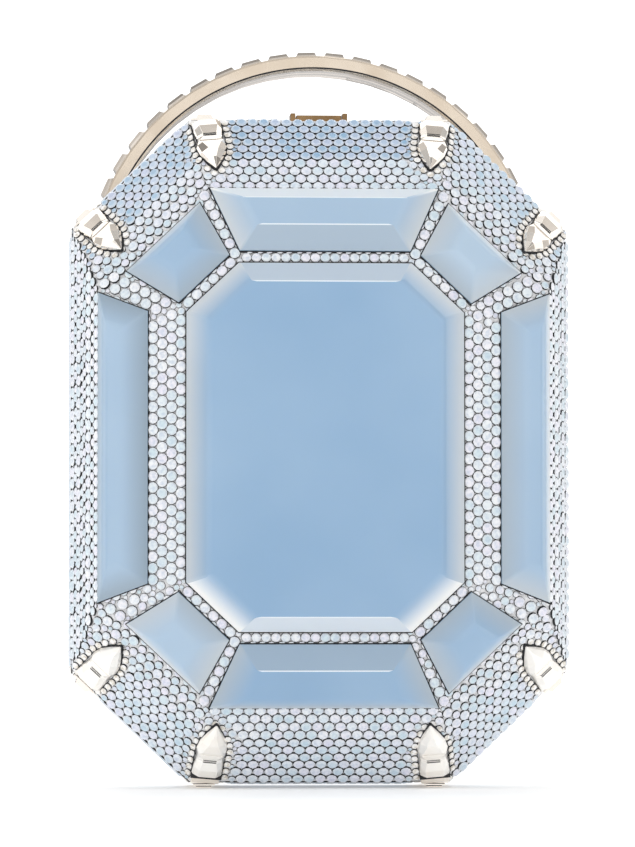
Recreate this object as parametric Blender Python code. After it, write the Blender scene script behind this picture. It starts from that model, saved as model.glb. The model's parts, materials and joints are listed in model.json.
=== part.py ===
# Clutch bag: a hard case shaped like a step-cut gemstone, with claws and an arched ring handle.
# X runs to the right, Y to the back and Z up. The feet stand on z = 0.
# Depths are measured from the parting plane, where the lid meets the box.

import math
from collections import namedtuple

import bpy
import bmesh
from mathutils import Matrix, Vector

mm = 0.001

# Metal body seen from the front: a rectangle with its corners cut off
girth_half_width = 62.6 * mm
girth_half_height = 83.7 * mm
corner_cut_width = 29.6 * mm
corner_cut_height = 28.0 * mm

# Gaps between pieces
seat_gap = 0.3 * mm
parting_gap = 0.3 * mm
overrun = 1.0 * mm

# Sheet metal and linings
shell_wall = 1.2 * mm
lining_wall = 0.8 * mm
lining_space = 1.4 * mm
lining_rim_depth = 3.0 * mm

# Lid crown: how far each slope comes in at the sides, the ends and the corners, and how deep it goes
outer_slope_side_inset = 3.7 * mm
outer_slope_end_inset = 11.1 * mm
outer_slope_corner_inset = 9.7 * mm
outer_slope_depth = 10.9 * mm
inner_slope_side_inset = 2.4 * mm
inner_slope_end_inset = 7.8 * mm
inner_slope_corner_inset = 6.8 * mm
inner_slope_depth = 5.1 * mm

# Ring of eight faces between the slopes and the centre stone
ring_side_width = 21.8 * mm
ring_end_width = 18.8 * mm
ring_corner_width = 18.7 * mm
ring_rise = 5.0 * mm

# Centre stone
centre_stone_side_bevel = 5.6 * mm
centre_stone_top_bevel = 4.7 * mm
centre_stone_bottom_bevel = 3.6 * mm
centre_stone_corner_bevel = 5.2 * mm
centre_stone_height = 3.8 * mm

# Stones of the ring
stone_girdle = 0.9 * mm
stone_height = 3.0 * mm
stone_outer_bevel = 2.1 * mm
stone_inner_bevel = 6.3 * mm
stone_end_bevel = 6.4 * mm
crystal_row = 2.8 * mm
side_crystal_field = 9.3 * mm
end_stone_taper = 7.3 * mm
side_stone_taper = 4.8 * mm
end_stone_outer_margin = 0.3 * mm
corner_stone_edge_inset = 1.2 * mm
corner_stone_outer_margin = 6.4 * mm
corner_stone_inner_margin = 0.3 * mm

# Box behind the parting plane
girth_depth = 18.0 * mm
back_bevel_depth = 5.0 * mm
back_bevel_inset = 5.0 * mm

# Edge frames and the lip that the lid closes over
frame_thickness = 1.2 * mm
frame_width = 2.8 * mm
lip_width = 1.0 * mm
lip_reach = 2.3 * mm

# Crystals set in rows on the metal: a ribbed layer over each half, with one rib for each row
crystal_height = 0.85 * mm
crystal_row_spacing = 2.5 * mm
crystal_groove = 0.35 * mm
crystal_shoulder = 0.5 * mm
crystal_clearance = 0.3 * mm

# Claws
front_claw_half_width = 3.9 * mm
front_claw_height = 2.3 * mm
front_claw_start = 1.7 * mm
front_claw_length = 17.6 * mm
front_claw_lean = math.radians(7.0)
claw_corner_inset = 3.7 * mm
claw_side_corner_inset = 4.5 * mm
rear_claw_height = 1.5 * mm
rear_claw_half_width = 3.45 * mm
rear_claw_front = 0.5 * mm

# Hinge along the bottom edge
hinge_end_margin = 1.85 * mm
hinge_knuckle_radius = 1.1 * mm
hinge_pin_radius = 0.45 * mm
hinge_bore_radius = 0.65 * mm
hinge_knuckles = 5
hinge_axis_inset = 1.2 * mm
hinge_leaf_thickness = 0.7 * mm
hinge_leaf_reach = 8.0 * mm
hinge_arm_inset = 0.1 * mm
lid_open_angle = math.radians(45.0)
groove_margin = math.radians(3.0)

# Push clasp at the middle of the top edge
button_half_width = 5.7 * mm
button_half_depth = 2.0 * mm
button_depth = 6.0 * mm
button_travel = 1.2 * mm
button_sink = 0.3 * mm
button_clearance = 0.3 * mm
flange_margin = 0.9 * mm
flange_thickness = 0.8 * mm
bezel_half_width = 7.25 * mm
bezel_half_depth = 3.1 * mm
bezel_thickness = 0.9 * mm
bezel_end_rise = 1.3 * mm
stem_half_width = 1.2 * mm
stem_half_depth = 0.9 * mm
stem_depth = 11.0 * mm
spring_length = 3.6 * mm
spring_radius = 2.0 * mm
spring_wire_radius = 0.25 * mm
spring_turns = 3
bracket_plate = 0.8 * mm
bracket_half_depth = 3.0 * mm
catch_plate = 0.9 * mm
catch_half_width = 2.1 * mm
catch_nose_depth = 1.2 * mm
catch_clearance = 0.9 * mm
tongue_half_width = 4.0 * mm
tongue_thickness = 0.8 * mm
tongue_drop = 4.6 * mm
tongue_window_half_width = 2.7 * mm
tongue_window_depth = 2.2 * mm
tongue_bar = 0.8 * mm
tongue_reach = 5.4 * mm
tongue_rim_notch = 1.3 * mm
tongue_foot_reach = 6.4 * mm

# Handle: a half ring that turns on two screws behind the back
handle_side_inset = 8.2 * mm
handle_thickness = 2.9 * mm
handle_edge_chamfer = 0.5 * mm
handle_grip_height = 15.7 * mm
handle_top_width = 16.0 * mm
handle_end_width = 9.0 * mm
handle_clearance = 8.0 * mm
eye_radius = 5.0 * mm
eye_boss = 0.3 * mm
stud_count = 21
stud_pitch = math.radians(7.1)
stud_phase = math.radians(1.8)
stud_length = 5.6 * mm
stud_height = 1.3 * mm
stud_step = 0.35 * mm
stud_bevel = 0.3 * mm
stud_width_share = 0.62
lug_width = 5.0 * mm
lug_plate = 1.2 * mm
lug_plate_half_height = 8.0 * mm
lug_radius = 4.0 * mm
washer_thickness = 0.5 * mm
washer_radius = 3.6 * mm
screw_radius = 1.5 * mm
screw_bore_radius = 1.8 * mm
screw_head_radius = 3.1 * mm
screw_head_thickness = 1.4 * mm
screw_slot = 0.8 * mm

# How deep the grooves between the back panel's straight rows are, as a share of the others
panel_groove_share = 0.8

# Where the band's ends stop inside the round eyes, as a share of the eye's radius
eye_overlap_share = 0.38

# Counts of faces round turned shapes
fine_segments = 32
small_segments = 16

# Places worked out from the sizes
Outline = namedtuple("Outline", "side end corner depth")
Direction = namedtuple("Direction", "kind x z")

corner_length = math.hypot(corner_cut_width, corner_cut_height)
corner_x = corner_cut_height / corner_length
corner_z = corner_cut_width / corner_length
end_half_length = girth_half_width - corner_cut_width
girth_half_corner = corner_x * end_half_length + corner_z * girth_half_height
rim_depth = parting_gap / 2 + frame_thickness + seat_gap
crown_depth = rim_depth + outer_slope_depth + inner_slope_depth + ring_rise
front_reach = crown_depth + seat_gap + centre_stone_height
back_depth = girth_depth + back_bevel_depth
pivot_depth = back_depth + handle_clearance
rear_reach = pivot_depth + handle_top_width / 2
parting_y = (front_reach - rear_reach) / 2
centre_z = girth_half_height + seat_gap + rear_claw_height
girth_inner_z = centre_z + girth_half_height - shell_wall
hinge_z = centre_z - girth_half_height + hinge_axis_inset
hinge_half_length = end_half_length - claw_corner_inset - rear_claw_half_width - hinge_end_margin
handle_inner_radius = girth_half_width - handle_side_inset
handle_outer_radius = handle_inner_radius + handle_thickness
pivot_z = centre_z + girth_half_height + handle_grip_height - handle_inner_radius
bracket_room_half_width = button_half_width + flange_margin + button_clearance
bracket_half_width = bracket_room_half_width + bracket_plate
crown_slope = outer_slope_end_inset / outer_slope_depth
crown_drop = math.hypot(1, crown_slope)
crystal_top = seat_gap + crystal_height


# Outlines of the body: how far its sides, ends and corner faces lie from the middle, at a depth

def inset_outline(outline, side_inset, end_inset, corner_inset, depth):
    return Outline(outline.side - side_inset, outline.end - end_inset, outline.corner - corner_inset, depth)


rim = Outline(girth_half_width, girth_half_height, girth_half_corner, rim_depth)
slope_break = inset_outline(rim, outer_slope_side_inset, outer_slope_end_inset, outer_slope_corner_inset,
                            rim_depth + outer_slope_depth)
table_edge = inset_outline(slope_break, inner_slope_side_inset, inner_slope_end_inset,
                           inner_slope_corner_inset, slope_break.depth + inner_slope_depth)
stone_seat = inset_outline(table_edge, ring_side_width, ring_end_width, ring_corner_width, crown_depth)
crown_outlines = [rim, slope_break, table_edge, stone_seat]
back_edge = inset_outline(rim, back_bevel_inset, back_bevel_inset, back_bevel_inset, back_depth)
box_outlines = [rim, rim._replace(depth=girth_depth), back_edge]


# Scene, collections and materials

for old in list(bpy.data.objects):
    bpy.data.objects.remove(old, do_unlink=True)


def new_collection(name):
    collection = bpy.data.collections.new(name)
    bpy.context.scene.collection.children.link(collection)
    return collection


parts = new_collection("clutch_bag")
cutters = new_collection("cutters")


def new_material(name, colour, metallic, roughness):
    material = bpy.data.materials.new(name)
    material.use_nodes = True
    shader = material.node_tree.nodes["Principled BSDF"]
    shader.inputs["Base Color"].default_value = (*colour, 1.0)
    shader.inputs["Metallic"].default_value = metallic
    shader.inputs["Roughness"].default_value = roughness
    return material


champagne_metal = new_material("champagne_metal", (0.78, 0.68, 0.55), 1.0, 0.2)
pave_metal = new_material("pave_metal", (0.62, 0.68, 0.76), 0.8, 0.35)
set_crystal = new_material("set_crystal", (0.6, 0.72, 0.88), 0.0, 0.1)
blue_stone = new_material("blue_stone", (0.33, 0.5, 0.7), 0.0, 0.08)
bronze_metal = new_material("bronze_metal", (0.36, 0.27, 0.2), 1.0, 0.35)
spring_steel = new_material("spring_steel", (0.5, 0.5, 0.52), 1.0, 0.3)
ivory_suede = new_material("ivory_suede", (0.74, 0.7, 0.62), 0.0, 0.9)


def new_empty(name, place):
    empty = bpy.data.objects.new(name, None)
    empty.location = place
    parts.objects.link(empty)
    return empty


lid_axis = new_empty("lid_axis", (0, parting_y, hinge_z))
handle_axis = new_empty("handle_axis", (0, parting_y + pivot_depth, pivot_z))
button_axis = new_empty("button_axis", (0, parting_y + button_depth, girth_inner_z))


def object_from(name, bm):
    bmesh.ops.remove_doubles(bm, verts=bm.verts, dist=overrun / 1000)
    bmesh.ops.recalc_face_normals(bm, faces=bm.faces)
    mesh = bpy.data.meshes.new(name)
    bm.to_mesh(mesh)
    bm.free()
    return bpy.data.objects.new(name, mesh)


def new_part(name, bm, material, axis=None):
    part = object_from(name, bm)
    part.data.materials.append(material)
    parts.objects.link(part)
    if axis:
        part.parent = axis
        part.matrix_parent_inverse = Matrix.Translation(-axis.location)
    return part


def new_tool(name, bm):
    tool = object_from(name, bm)
    tool.hide_render = True
    tool.display_type = "WIRE"
    cutters.objects.link(tool)
    return tool


def combine(part, tool, operation):
    modifier = part.modifiers.new(tool.name, "BOOLEAN")
    modifier.operation = operation
    modifier.object = tool
    modifier.solver = "EXACT"


def cut(part, tool):
    combine(part, tool, "DIFFERENCE")


def fuse(part, tool):
    combine(part, tool, "UNION")


# Basic solids

def place(x, depth, height):
    return Vector((x, parting_y + depth, centre_z + height))


def block(x_span, y_span, z_span):
    bm = bmesh.new()
    size = [span[1] - span[0] for span in (x_span, y_span, z_span)]
    middle = [(span[1] + span[0]) / 2 for span in (x_span, y_span, z_span)]
    bmesh.ops.create_cube(bm, size=1, matrix=Matrix.LocRotScale(middle, None, size))
    return bm


def rod(radius, x_span, y, z, segments):
    bm = bmesh.new()
    turn = Matrix.Rotation(math.pi / 2, 4, "Y")
    middle = Matrix.Translation(((x_span[0] + x_span[1]) / 2, y, z))
    bmesh.ops.create_cone(bm, cap_ends=True, segments=segments, radius1=radius, radius2=radius,
                          depth=abs(x_span[1] - x_span[0]), matrix=middle @ turn)
    return bm


def prism(outline, x_span, bm=None):
    if bm is None:
        bm = bmesh.new()
    face = bm.faces.new([bm.verts.new((x_span[0], y, z)) for y, z in outline])
    sweep = bmesh.ops.extrude_face_region(bm, geom=[face])
    moved = [item for item in sweep["geom"] if isinstance(item, bmesh.types.BMVert)]
    bmesh.ops.translate(bm, verts=moved, vec=(x_span[1] - x_span[0], 0, 0))
    return bm


def arc(middle, radius, start, end, steps):
    points = []
    for step in range(steps + 1):
        angle = start + (end - start) * step / steps
        points.append((middle[0] + radius * math.cos(angle), middle[1] + radius * math.sin(angle)))
    return points


# A slab over points on a face, between two levels above it
def slab(axes, points, low, high):
    bm = bmesh.new()
    rings = []
    for level in (low, high):
        rings.append([bm.verts.new(axes @ Vector((x, y, level))) for x, y in points])
        bm.faces.new(rings[-1])
    bridge(bm, *rings)
    return bm


# Eight-sided outlines and what is lofted between them

def end_corner(outline):
    return (outline.corner - corner_z * outline.end) / corner_x, outline.end


def side_corner(outline):
    return outline.side, (outline.corner - corner_x * outline.side) / corner_z


def octagon(outline, in_lid):
    depth = -outline.depth if in_lid else outline.depth
    half = [end_corner(outline), side_corner(outline)]
    half += [(x, -z) for x, z in reversed(half)]
    return [place(x, depth, z) for x, z in half] + [place(-x, depth, z) for x, z in reversed(half)]


def bridge(bm, ring, next_ring):
    for index in range(len(ring)):
        following = (index + 1) % len(ring)
        bm.faces.new((ring[index], ring[following], next_ring[following], next_ring[index]))


def surface(bm, outlines, in_lid):
    rings = [[bm.verts.new(point) for point in octagon(outline, in_lid)] for outline in outlines]
    for ring, next_ring in zip(rings, rings[1:]):
        bridge(bm, ring, next_ring)
    bm.faces.new(rings[-1])
    return rings[0]


# A face's line in a cut through it: where it starts, its slope, and how far its inside lies from it
def face_line(first, second, kind, thickness):
    slope = (getattr(second, kind) - getattr(first, kind)) / (second.depth - first.depth)
    return getattr(first, kind) - slope * first.depth, slope, thickness * math.hypot(1, slope)


def inside(line, depth):
    start, slope, drop = line
    return start + slope * depth - drop


# Outlines of the surface that lies inside the given one, its rim kept in its plane
def offset_outlines(outlines, thickness, first_depth):
    kinds = ("side", "end", "corner")
    lines = []
    for first, second in zip(outlines, outlines[1:]):
        lines.append([face_line(first, second, kind, thickness) for kind in kinds])
    moved = [Outline(*[inside(line, first_depth) for line in lines[0]], first_depth)]
    for outline, before, after in zip(outlines[1:-1], lines, lines[1:]):
        pairs = list(zip(before, after))
        shifts = [(one[2] - other[2]) / (one[1] - other[1]) for one, other in pairs]
        depth = outline.depth + sum(shifts) / len(shifts)
        moved.append(Outline(*[min(inside(one, depth), inside(other, depth)) for one, other in pairs], depth))
    last_depth = outlines[-1].depth - thickness
    moved.append(Outline(*[inside(line, last_depth) for line in lines[-1]], last_depth))
    return moved


def shell(name, outer, inner, in_lid, material, axis=None):
    bm = bmesh.new()
    bridge(bm, surface(bm, outer, in_lid), surface(bm, inner, in_lid))
    return new_part(name, bm, material, axis)


def edge_ring(name, section, material, axis=None):
    bm = bmesh.new()
    rings = []
    for inset, depth in section:
        outline = inset_outline(rim, inset, inset, inset, depth)
        rings.append([bm.verts.new(point) for point in octagon(outline, False)])
    for ring, next_ring in zip(rings, rings[1:] + rings[:1]):
        bridge(bm, ring, next_ring)
    return new_part(name, bm, material, axis)


# Ways that the eight faces look, and axes on a face: along its edge, down its slope and out of it

def directions():
    return {
        "top": Direction("end", 0, 1), "bottom": Direction("end", 0, -1),
        "right": Direction("side", 1, 0), "left": Direction("side", -1, 0),
        "top_right": Direction("corner", corner_x, corner_z),
        "bottom_right": Direction("corner", corner_x, -corner_z),
        "bottom_left": Direction("corner", -corner_x, -corner_z),
        "top_left": Direction("corner", -corner_x, corner_z),
    }


def crown_face(first, second, direction):
    outward = Vector((direction.x, 0, direction.z))
    along = Vector((direction.z, 0, -direction.x))
    fall = getattr(first, direction.kind) - getattr(second, direction.kind)
    slope = (Vector((0, first.depth - second.depth, 0)) - outward * fall).normalized()
    normal = (outward - slope * outward.dot(slope)).normalized()
    axes = Matrix((along, slope, normal)).transposed().to_4x4()
    reach = getattr(first, direction.kind)
    axes.translation = place(reach * direction.x, -first.depth, reach * direction.z)
    return axes


def corner_edge(outline, direction):
    end_x, end_z = end_corner(outline)
    side_x, side_z = side_corner(outline)
    along = Vector((direction.z, -direction.x))
    first = along.dot((math.copysign(end_x, direction.x), math.copysign(end_z, direction.z)))
    second = along.dot((math.copysign(side_x, direction.x), math.copysign(side_z, direction.z)))
    return first, second


# Metal halves, frames and linings

def build_shells():
    crown_inner = offset_outlines(crown_outlines, shell_wall, rim_depth)
    shell("front_shell", crown_outlines, crown_inner, True, pave_metal, lid_axis)
    box_inner = offset_outlines(box_outlines, shell_wall, rim_depth)
    back_shell = shell("back_shell", box_outlines, box_inner, False, pave_metal)
    slot_x = button_half_width + button_clearance
    slot_y = button_half_depth + button_clearance
    middle_y = parting_y + button_depth
    slot = block((-slot_x, slot_x), (middle_y - slot_y, middle_y + slot_y),
                 (girth_inner_z - overrun, girth_inner_z + shell_wall + overrun))
    cut(back_shell, new_tool("button_slot", slot))


def build_linings():
    outer = shell_wall + lining_space
    inner = outer + lining_wall
    front = shell("front_lining", offset_outlines(crown_outlines, outer, lining_rim_depth),
                  offset_outlines(crown_outlines, inner, lining_rim_depth), True, ivory_suede, lid_axis)
    back = shell("back_lining", offset_outlines(box_outlines, outer, lining_rim_depth),
                 offset_outlines(box_outlines, inner, lining_rim_depth), False, ivory_suede)
    notch_z = (girth_inner_z - stem_depth, girth_inner_z)
    notch_x = tongue_half_width + seat_gap
    tongue_notch = block((-notch_x, notch_x), (parting_y - lining_rim_depth - tongue_rim_notch, parting_y),
                         notch_z)
    cut(front, new_tool("tongue_notch", tongue_notch))
    notch_x = bracket_half_width + seat_gap
    notch_end = parting_y + stem_depth + bracket_half_depth + seat_gap
    cut(back, new_tool("latch_notch", block((-notch_x, notch_x), (parting_y, notch_end), notch_z)))


def build_frames():
    face = parting_gap / 2
    front_section = [(0, -face), (0, -face - frame_thickness),
                     (frame_width, -face - frame_thickness), (frame_width, -face)]
    front_frame = edge_ring("front_frame", front_section, champagne_metal, lid_axis)
    lip_start = frame_width + seat_gap
    lip_end = lip_start + lip_width
    back_section = [(0, face), (0, face + frame_thickness), (lip_end, face + frame_thickness),
                    (lip_end, -lip_reach), (lip_start, -lip_reach), (lip_start, face)]
    back_frame = edge_ring("back_frame", back_section, champagne_metal)
    notch_x = hinge_half_length + seat_gap
    notch = block((-notch_x, notch_x), (parting_y - lip_reach - overrun, parting_y + lip_reach),
                  (centre_z - girth_half_height - overrun, centre_z - girth_half_height + lip_end + overrun))
    hinge_notch = new_tool("hinge_notch", notch)
    cut(front_frame, hinge_notch)
    cut(back_frame, hinge_notch)
    depth = hinge_axis_inset + overrun
    swing = depth * math.tan(lid_open_angle + groove_margin)
    groove = prism([(parting_y, hinge_z), (parting_y + overrun, hinge_z - depth),
                    (parting_y - swing, hinge_z - depth)],
                   (-girth_half_width - overrun, girth_half_width + overrun))
    cut(front_frame, new_tool("hinge_groove", groove))


# Rows of crystals

def between(first, second, share):
    return Outline(*[near + (far - near) * share for near, far in zip(first, second)])


def slope_length(first, second):
    return math.hypot(second.depth - first.depth, first.end - second.end)


def row_count(first, second):
    return round(slope_length(first, second) / crystal_row_spacing)


# Outlines of the layer's outside, with a groove before and after each row
def ribbed(outlines, row_counts):
    tops = offset_outlines(outlines, -crystal_top, rim_depth)
    grooves = offset_outlines(outlines, crystal_groove - crystal_top, rim_depth)
    ribs = []
    for index, rows in enumerate(row_counts):
        shoulder = crystal_shoulder / slope_length(tops[index], tops[index + 1])
        for row in range(rows):
            ribs.append(between(grooves[index], grooves[index + 1], row / rows))
            ribs.append(between(tops[index], tops[index + 1], row / rows + shoulder))
            ribs.append(between(tops[index], tops[index + 1], (row + 1) / rows - shoulder))
    ribs.append(grooves[-1])
    ribs.append(inset_outline(tops[-1], crystal_shoulder, crystal_shoulder, crystal_shoulder, tops[-1].depth))
    return ribs


def panel_grooves():
    top = parting_y + back_depth + crystal_top
    depth = crystal_groove * panel_groove_share
    rows = round(2 * back_edge.end / crystal_row_spacing)
    bm = bmesh.new()
    for row in range(1, rows):
        z = centre_z - back_edge.end + 2 * back_edge.end * row / rows
        half = 2 * crystal_shoulder
        outline = [(top - depth, z), (top + depth, z + half), (top + depth, z - half)]
        prism(outline, (-girth_half_width, girth_half_width), bm)
    return bm


def build_crystal_rows():
    lid_rows = shell("lid_crystal_rows",
                     ribbed(crown_outlines, [row_count(rim, slope_break), row_count(slope_break, table_edge), 1]),
                     offset_outlines(crown_outlines, -seat_gap, rim_depth), True, set_crystal, lid_axis)
    girth_edge = box_outlines[1]
    box_rows = shell("box_crystal_rows",
                     ribbed(box_outlines, [row_count(rim, girth_edge), row_count(girth_edge, back_edge)]),
                     offset_outlines(box_outlines, -seat_gap, rim_depth), False, set_crystal)
    cut(box_rows, new_tool("panel_grooves", panel_grooves()))
    return lid_rows, box_rows


# The rows stop short of what is set among them
def open_rows(rows, name, bm):
    cut(rows, new_tool(name + "_opening", bm))


# Stones, each a flat-backed slab with a girdle, wide bevels and a table

def inset_corners(corners, insets):
    lines = []
    for index, point in enumerate(corners):
        following = corners[(index + 1) % len(corners)]
        run = (following - point).normalized()
        inward = Vector((-run.y, run.x))
        lines.append((point + inward * insets[index], run))
    moved = []
    for index, (start, run) in enumerate(lines):
        before, run_before = lines[index - 1]
        gap = start - before
        reach = (gap.x * run.y - gap.y * run.x) / (run_before.x * run.y - run_before.y * run.x)
        moved.append(before + run_before * reach)
    return moved


def stone(name, axes, corners, insets, height, rows):
    around = inset_corners(corners, [-crystal_clearance] * len(corners))
    open_rows(rows, name, slab(axes, around, -overrun, crystal_top + overrun))
    bm = bmesh.new()
    table = inset_corners(corners, insets)
    rings = []
    for points, level in ((corners, 0), (corners, stone_girdle), (table, height)):
        rings.append([bm.verts.new(axes @ Vector((p.x, p.y, seat_gap + level))) for p in points])
    bm.faces.new(rings[0])
    bridge(bm, rings[0], rings[1])
    bridge(bm, rings[1], rings[2])
    bm.faces.new(rings[2])
    new_part(name, bm, blue_stone, lid_axis)


# Outer half length, inner half length, how far in from the ring's outer edge, and where it ends
def ring_stone_sizes(direction):
    if direction.kind == "end":
        outer_half = end_corner(table_edge)[0] - end_stone_outer_margin
        return outer_half, outer_half - end_stone_taper, 0, stone_seat.end + crystal_row
    if direction.kind == "side":
        outer_half = side_corner(table_edge)[1]
        return outer_half, outer_half - side_stone_taper, 0, stone_seat.side + side_crystal_field
    start, end = corner_edge(table_edge, direction)
    seat_start, seat_end = corner_edge(stone_seat, direction)
    outer_half = abs(end - start) / 2 - corner_stone_outer_margin
    inner_half = abs(seat_end - seat_start) / 2 - corner_stone_inner_margin
    return outer_half, inner_half, corner_stone_edge_inset, stone_seat.corner + crystal_row


def build_ring_stones(rows):
    for name, direction in directions().items():
        outer_half, inner_half, edge_inset, end_reach = ring_stone_sizes(direction)
        reach = getattr(table_edge, direction.kind)
        width = reach - getattr(stone_seat, direction.kind)
        stretch = math.hypot(width, ring_rise) / width
        middle = 0
        if direction.kind == "corner":
            middle = sum(corner_edge(stone_seat, direction)) / 2
        near = edge_inset * stretch
        far = (reach - end_reach) * stretch
        corners = [Vector((middle - outer_half, near)), Vector((middle + outer_half, near)),
                   Vector((middle + inner_half, far)), Vector((middle - inner_half, far))]
        insets = [stone_outer_bevel, stone_end_bevel, stone_inner_bevel, stone_end_bevel]
        axes = crown_face(table_edge, stone_seat, direction)
        stone(name + "_stone", axes, corners, insets, stone_height, rows)


def build_centre_stone(rows):
    axes = Matrix((Vector((1, 0, 0)), Vector((0, 0, 1)), Vector((0, -1, 0)))).transposed().to_4x4()
    axes.translation = place(0, -crown_depth, 0)
    corners = [Vector((point.x, point.z - centre_z)) for point in reversed(octagon(stone_seat, True))]
    side = centre_stone_side_bevel
    corner = centre_stone_corner_bevel
    insets = [corner, side, corner, centre_stone_bottom_bevel, corner, side, corner, centre_stone_top_bevel]
    stone("centre_stone", axes, corners, insets, centre_stone_height, rows)


# Claws

# Front claw: how far along, half width at its foot, half width at its top, height
front_claw_shares = [
    (0.00, 0.97, 0.62, 0.70),
    (0.07, 0.97, 0.70, 0.96),
    (0.36, 0.90, 0.66, 0.96),
    (0.43, 0.88, 0.62, 0.72),
    (0.45, 0.85, 0.62, 0.48),
    (0.49, 0.85, 0.62, 0.48),
    (0.51, 0.94, 0.62, 0.78),
    (0.58, 0.96, 0.58, 1.00),
    (0.74, 0.78, 0.34, 0.96),
    (0.90, 0.38, 0.12, 0.72),
    (1.00, 0.08, 0.04, 0.36),
]
# Opening in the rows round a front claw: how far along it, and its half width
front_claw_opening_shares = [(0.58, 1.0), (0.74, 0.8), (1.0, 0.1)]
front_claw_section_shares = [(1.0, 0.0, 0.0), (0.75, 0.25, 0.45), (0.0, 1.0, 1.0)]

# Rear claw: half width and height of its three steps, and how far along each section lies
rear_claw_step_shares = [(1.0, 0.0), (0.97, 0.36), (0.6, 0.4), (0.58, 0.68), (0.52, 0.72), (0.5, 1.0)]
rear_claw_groove_shares = [(0.0, 1.0), (0.44, 1.0), (0.46, 0.7), (0.54, 0.7), (0.56, 1.0)]
rear_claw_tip_share = 0.8
rear_claw_tip_size_share = 0.4


def claw_ring(bm, base, across, rise, points):
    ring = [base + across * width + rise * (seat_gap + height) for width, height in points]
    ring += [base - across * width + rise * (seat_gap + height) for width, height in reversed(points)]
    return [bm.verts.new(point) for point in ring]


def both_sides(edge):
    return edge + [(-x, y) for x, y in reversed(edge)]


def loft_claw(name, rings, bm, axis=None):
    for ring, next_ring in zip(rings, rings[1:]):
        bridge(bm, ring, next_ring)
    bm.faces.new(rings[0])
    bm.faces.new(rings[-1])
    new_part(name, bm, champagne_metal, axis)


def front_claw(name, direction, offset, lean, rows):
    axes = crown_face(rim, slope_break, direction)
    turn = axes.to_3x3()
    run = turn @ Vector((math.sin(lean), math.cos(lean), 0))
    across = turn @ Vector((math.cos(lean), -math.sin(lean), 0))
    up = turn.col[2]
    fall = getattr(rim, direction.kind) - getattr(slope_break, direction.kind)
    bm = bmesh.new()
    rings = []
    for along, foot, top, height in front_claw_shares:
        base = axes @ Vector((offset, 0, 0)) + run * (front_claw_start + front_claw_length * along)
        rise = up + run * (outer_slope_depth / fall) if along == 0 else up
        points = []
        for foot_part, top_part, height_part in front_claw_section_shares:
            width = front_claw_half_width * (foot * foot_part + top * top_part)
            points.append((width, front_claw_height * height * height_part))
        rings.append(claw_ring(bm, base, across, rise, points))
    loft_claw(name, rings, bm, lid_axis)
    edge = [(front_claw_half_width + crystal_clearance, -overrun)]
    for along, width in front_claw_opening_shares:
        edge.append((front_claw_half_width * width + crystal_clearance,
                     front_claw_start + front_claw_length * along))
    lean_axes = axes @ Matrix.Translation((offset, 0, 0)) @ Matrix.Rotation(-lean, 4, "Z")
    open_rows(rows, name, slab(lean_axes, both_sides(edge), -overrun, crystal_top + overrun))


def rear_claw(name, direction, offset, rows):
    outward = Vector((direction.x, 0, direction.z))
    across = Vector((direction.z, 0, -direction.x))
    back = Vector((0, 1, 0))
    reach = getattr(rim, direction.kind)
    foot = place(reach * direction.x, 0, reach * direction.z) + across * offset
    bevel = back * back_bevel_depth - outward * back_bevel_inset
    bevel_up = (outward * back_bevel_depth + back * back_bevel_inset).normalized()
    bend = (outward + bevel_up) / (1 + outward.dot(bevel_up))
    steps = [(rear_claw_half_width * width, rear_claw_height * height)
             for width, height in rear_claw_step_shares]
    bm = bmesh.new()
    rings = []
    for along, height_part in rear_claw_groove_shares:
        base = foot + back * (rear_claw_front + (girth_depth - rear_claw_front) * along)
        points = [(width, height * height_part) for width, height in steps]
        rings.append(claw_ring(bm, base, across, outward, points))
    rings.append(claw_ring(bm, foot + back * girth_depth, across, bend, steps))
    tip = [(width * rear_claw_tip_size_share, height * rear_claw_tip_size_share) for width, height in steps]
    tip_base = foot + back * girth_depth + bevel * rear_claw_tip_share
    rings.append(claw_ring(bm, tip_base, across, bevel_up, tip))
    loft_claw(name, rings, bm)
    axes = Matrix((across, back, outward)).transposed().to_4x4()
    axes.translation = foot
    tip_end = (tip_base - foot).dot(back) + bevel_up.dot(back) * (seat_gap + tip[-1][1])
    edge = [(rear_claw_half_width + crystal_clearance, -overrun),
            (rear_claw_half_width + crystal_clearance, girth_depth),
            (tip[0][0] + crystal_clearance, tip_end + crystal_clearance)]
    open_rows(rows, name, slab(axes, both_sides(edge), -back_bevel_inset - overrun, crystal_top + overrun))


def build_claws(lid_rows, box_rows):
    ways = directions()
    end_offset = end_half_length - claw_corner_inset
    side_offset = corner_edge(rim, ways["top_right"])[1] - claw_side_corner_inset
    layout = {
        "top_left": ("top", -end_offset, front_claw_lean),
        "top_right": ("top", end_offset, -front_claw_lean),
        "bottom_left": ("bottom", end_offset, -front_claw_lean),
        "bottom_right": ("bottom", -end_offset, front_claw_lean),
        "right_upper": ("top_right", side_offset, 0),
        "left_upper": ("top_left", -side_offset, 0),
        "right_lower": ("bottom_right", -side_offset, 0),
        "left_lower": ("bottom_left", side_offset, 0),
    }
    for name, (way, offset, lean) in layout.items():
        front_claw("front_claw_" + name, ways[way], offset, lean, lid_rows)
        prefix = "foot_" if way == "bottom" else "rear_claw_"
        rear_claw(prefix + name, ways[way], offset, box_rows)


# Hinge: knuckles in turn on the box leaf and the lid leaf, round one pin

def on_crown_inside(depth, level):
    seat = centre_z - girth_half_height + (shell_wall + seat_gap) * crown_drop
    return parting_y - depth, seat + crown_slope * (depth - rim_depth) + level


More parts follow.
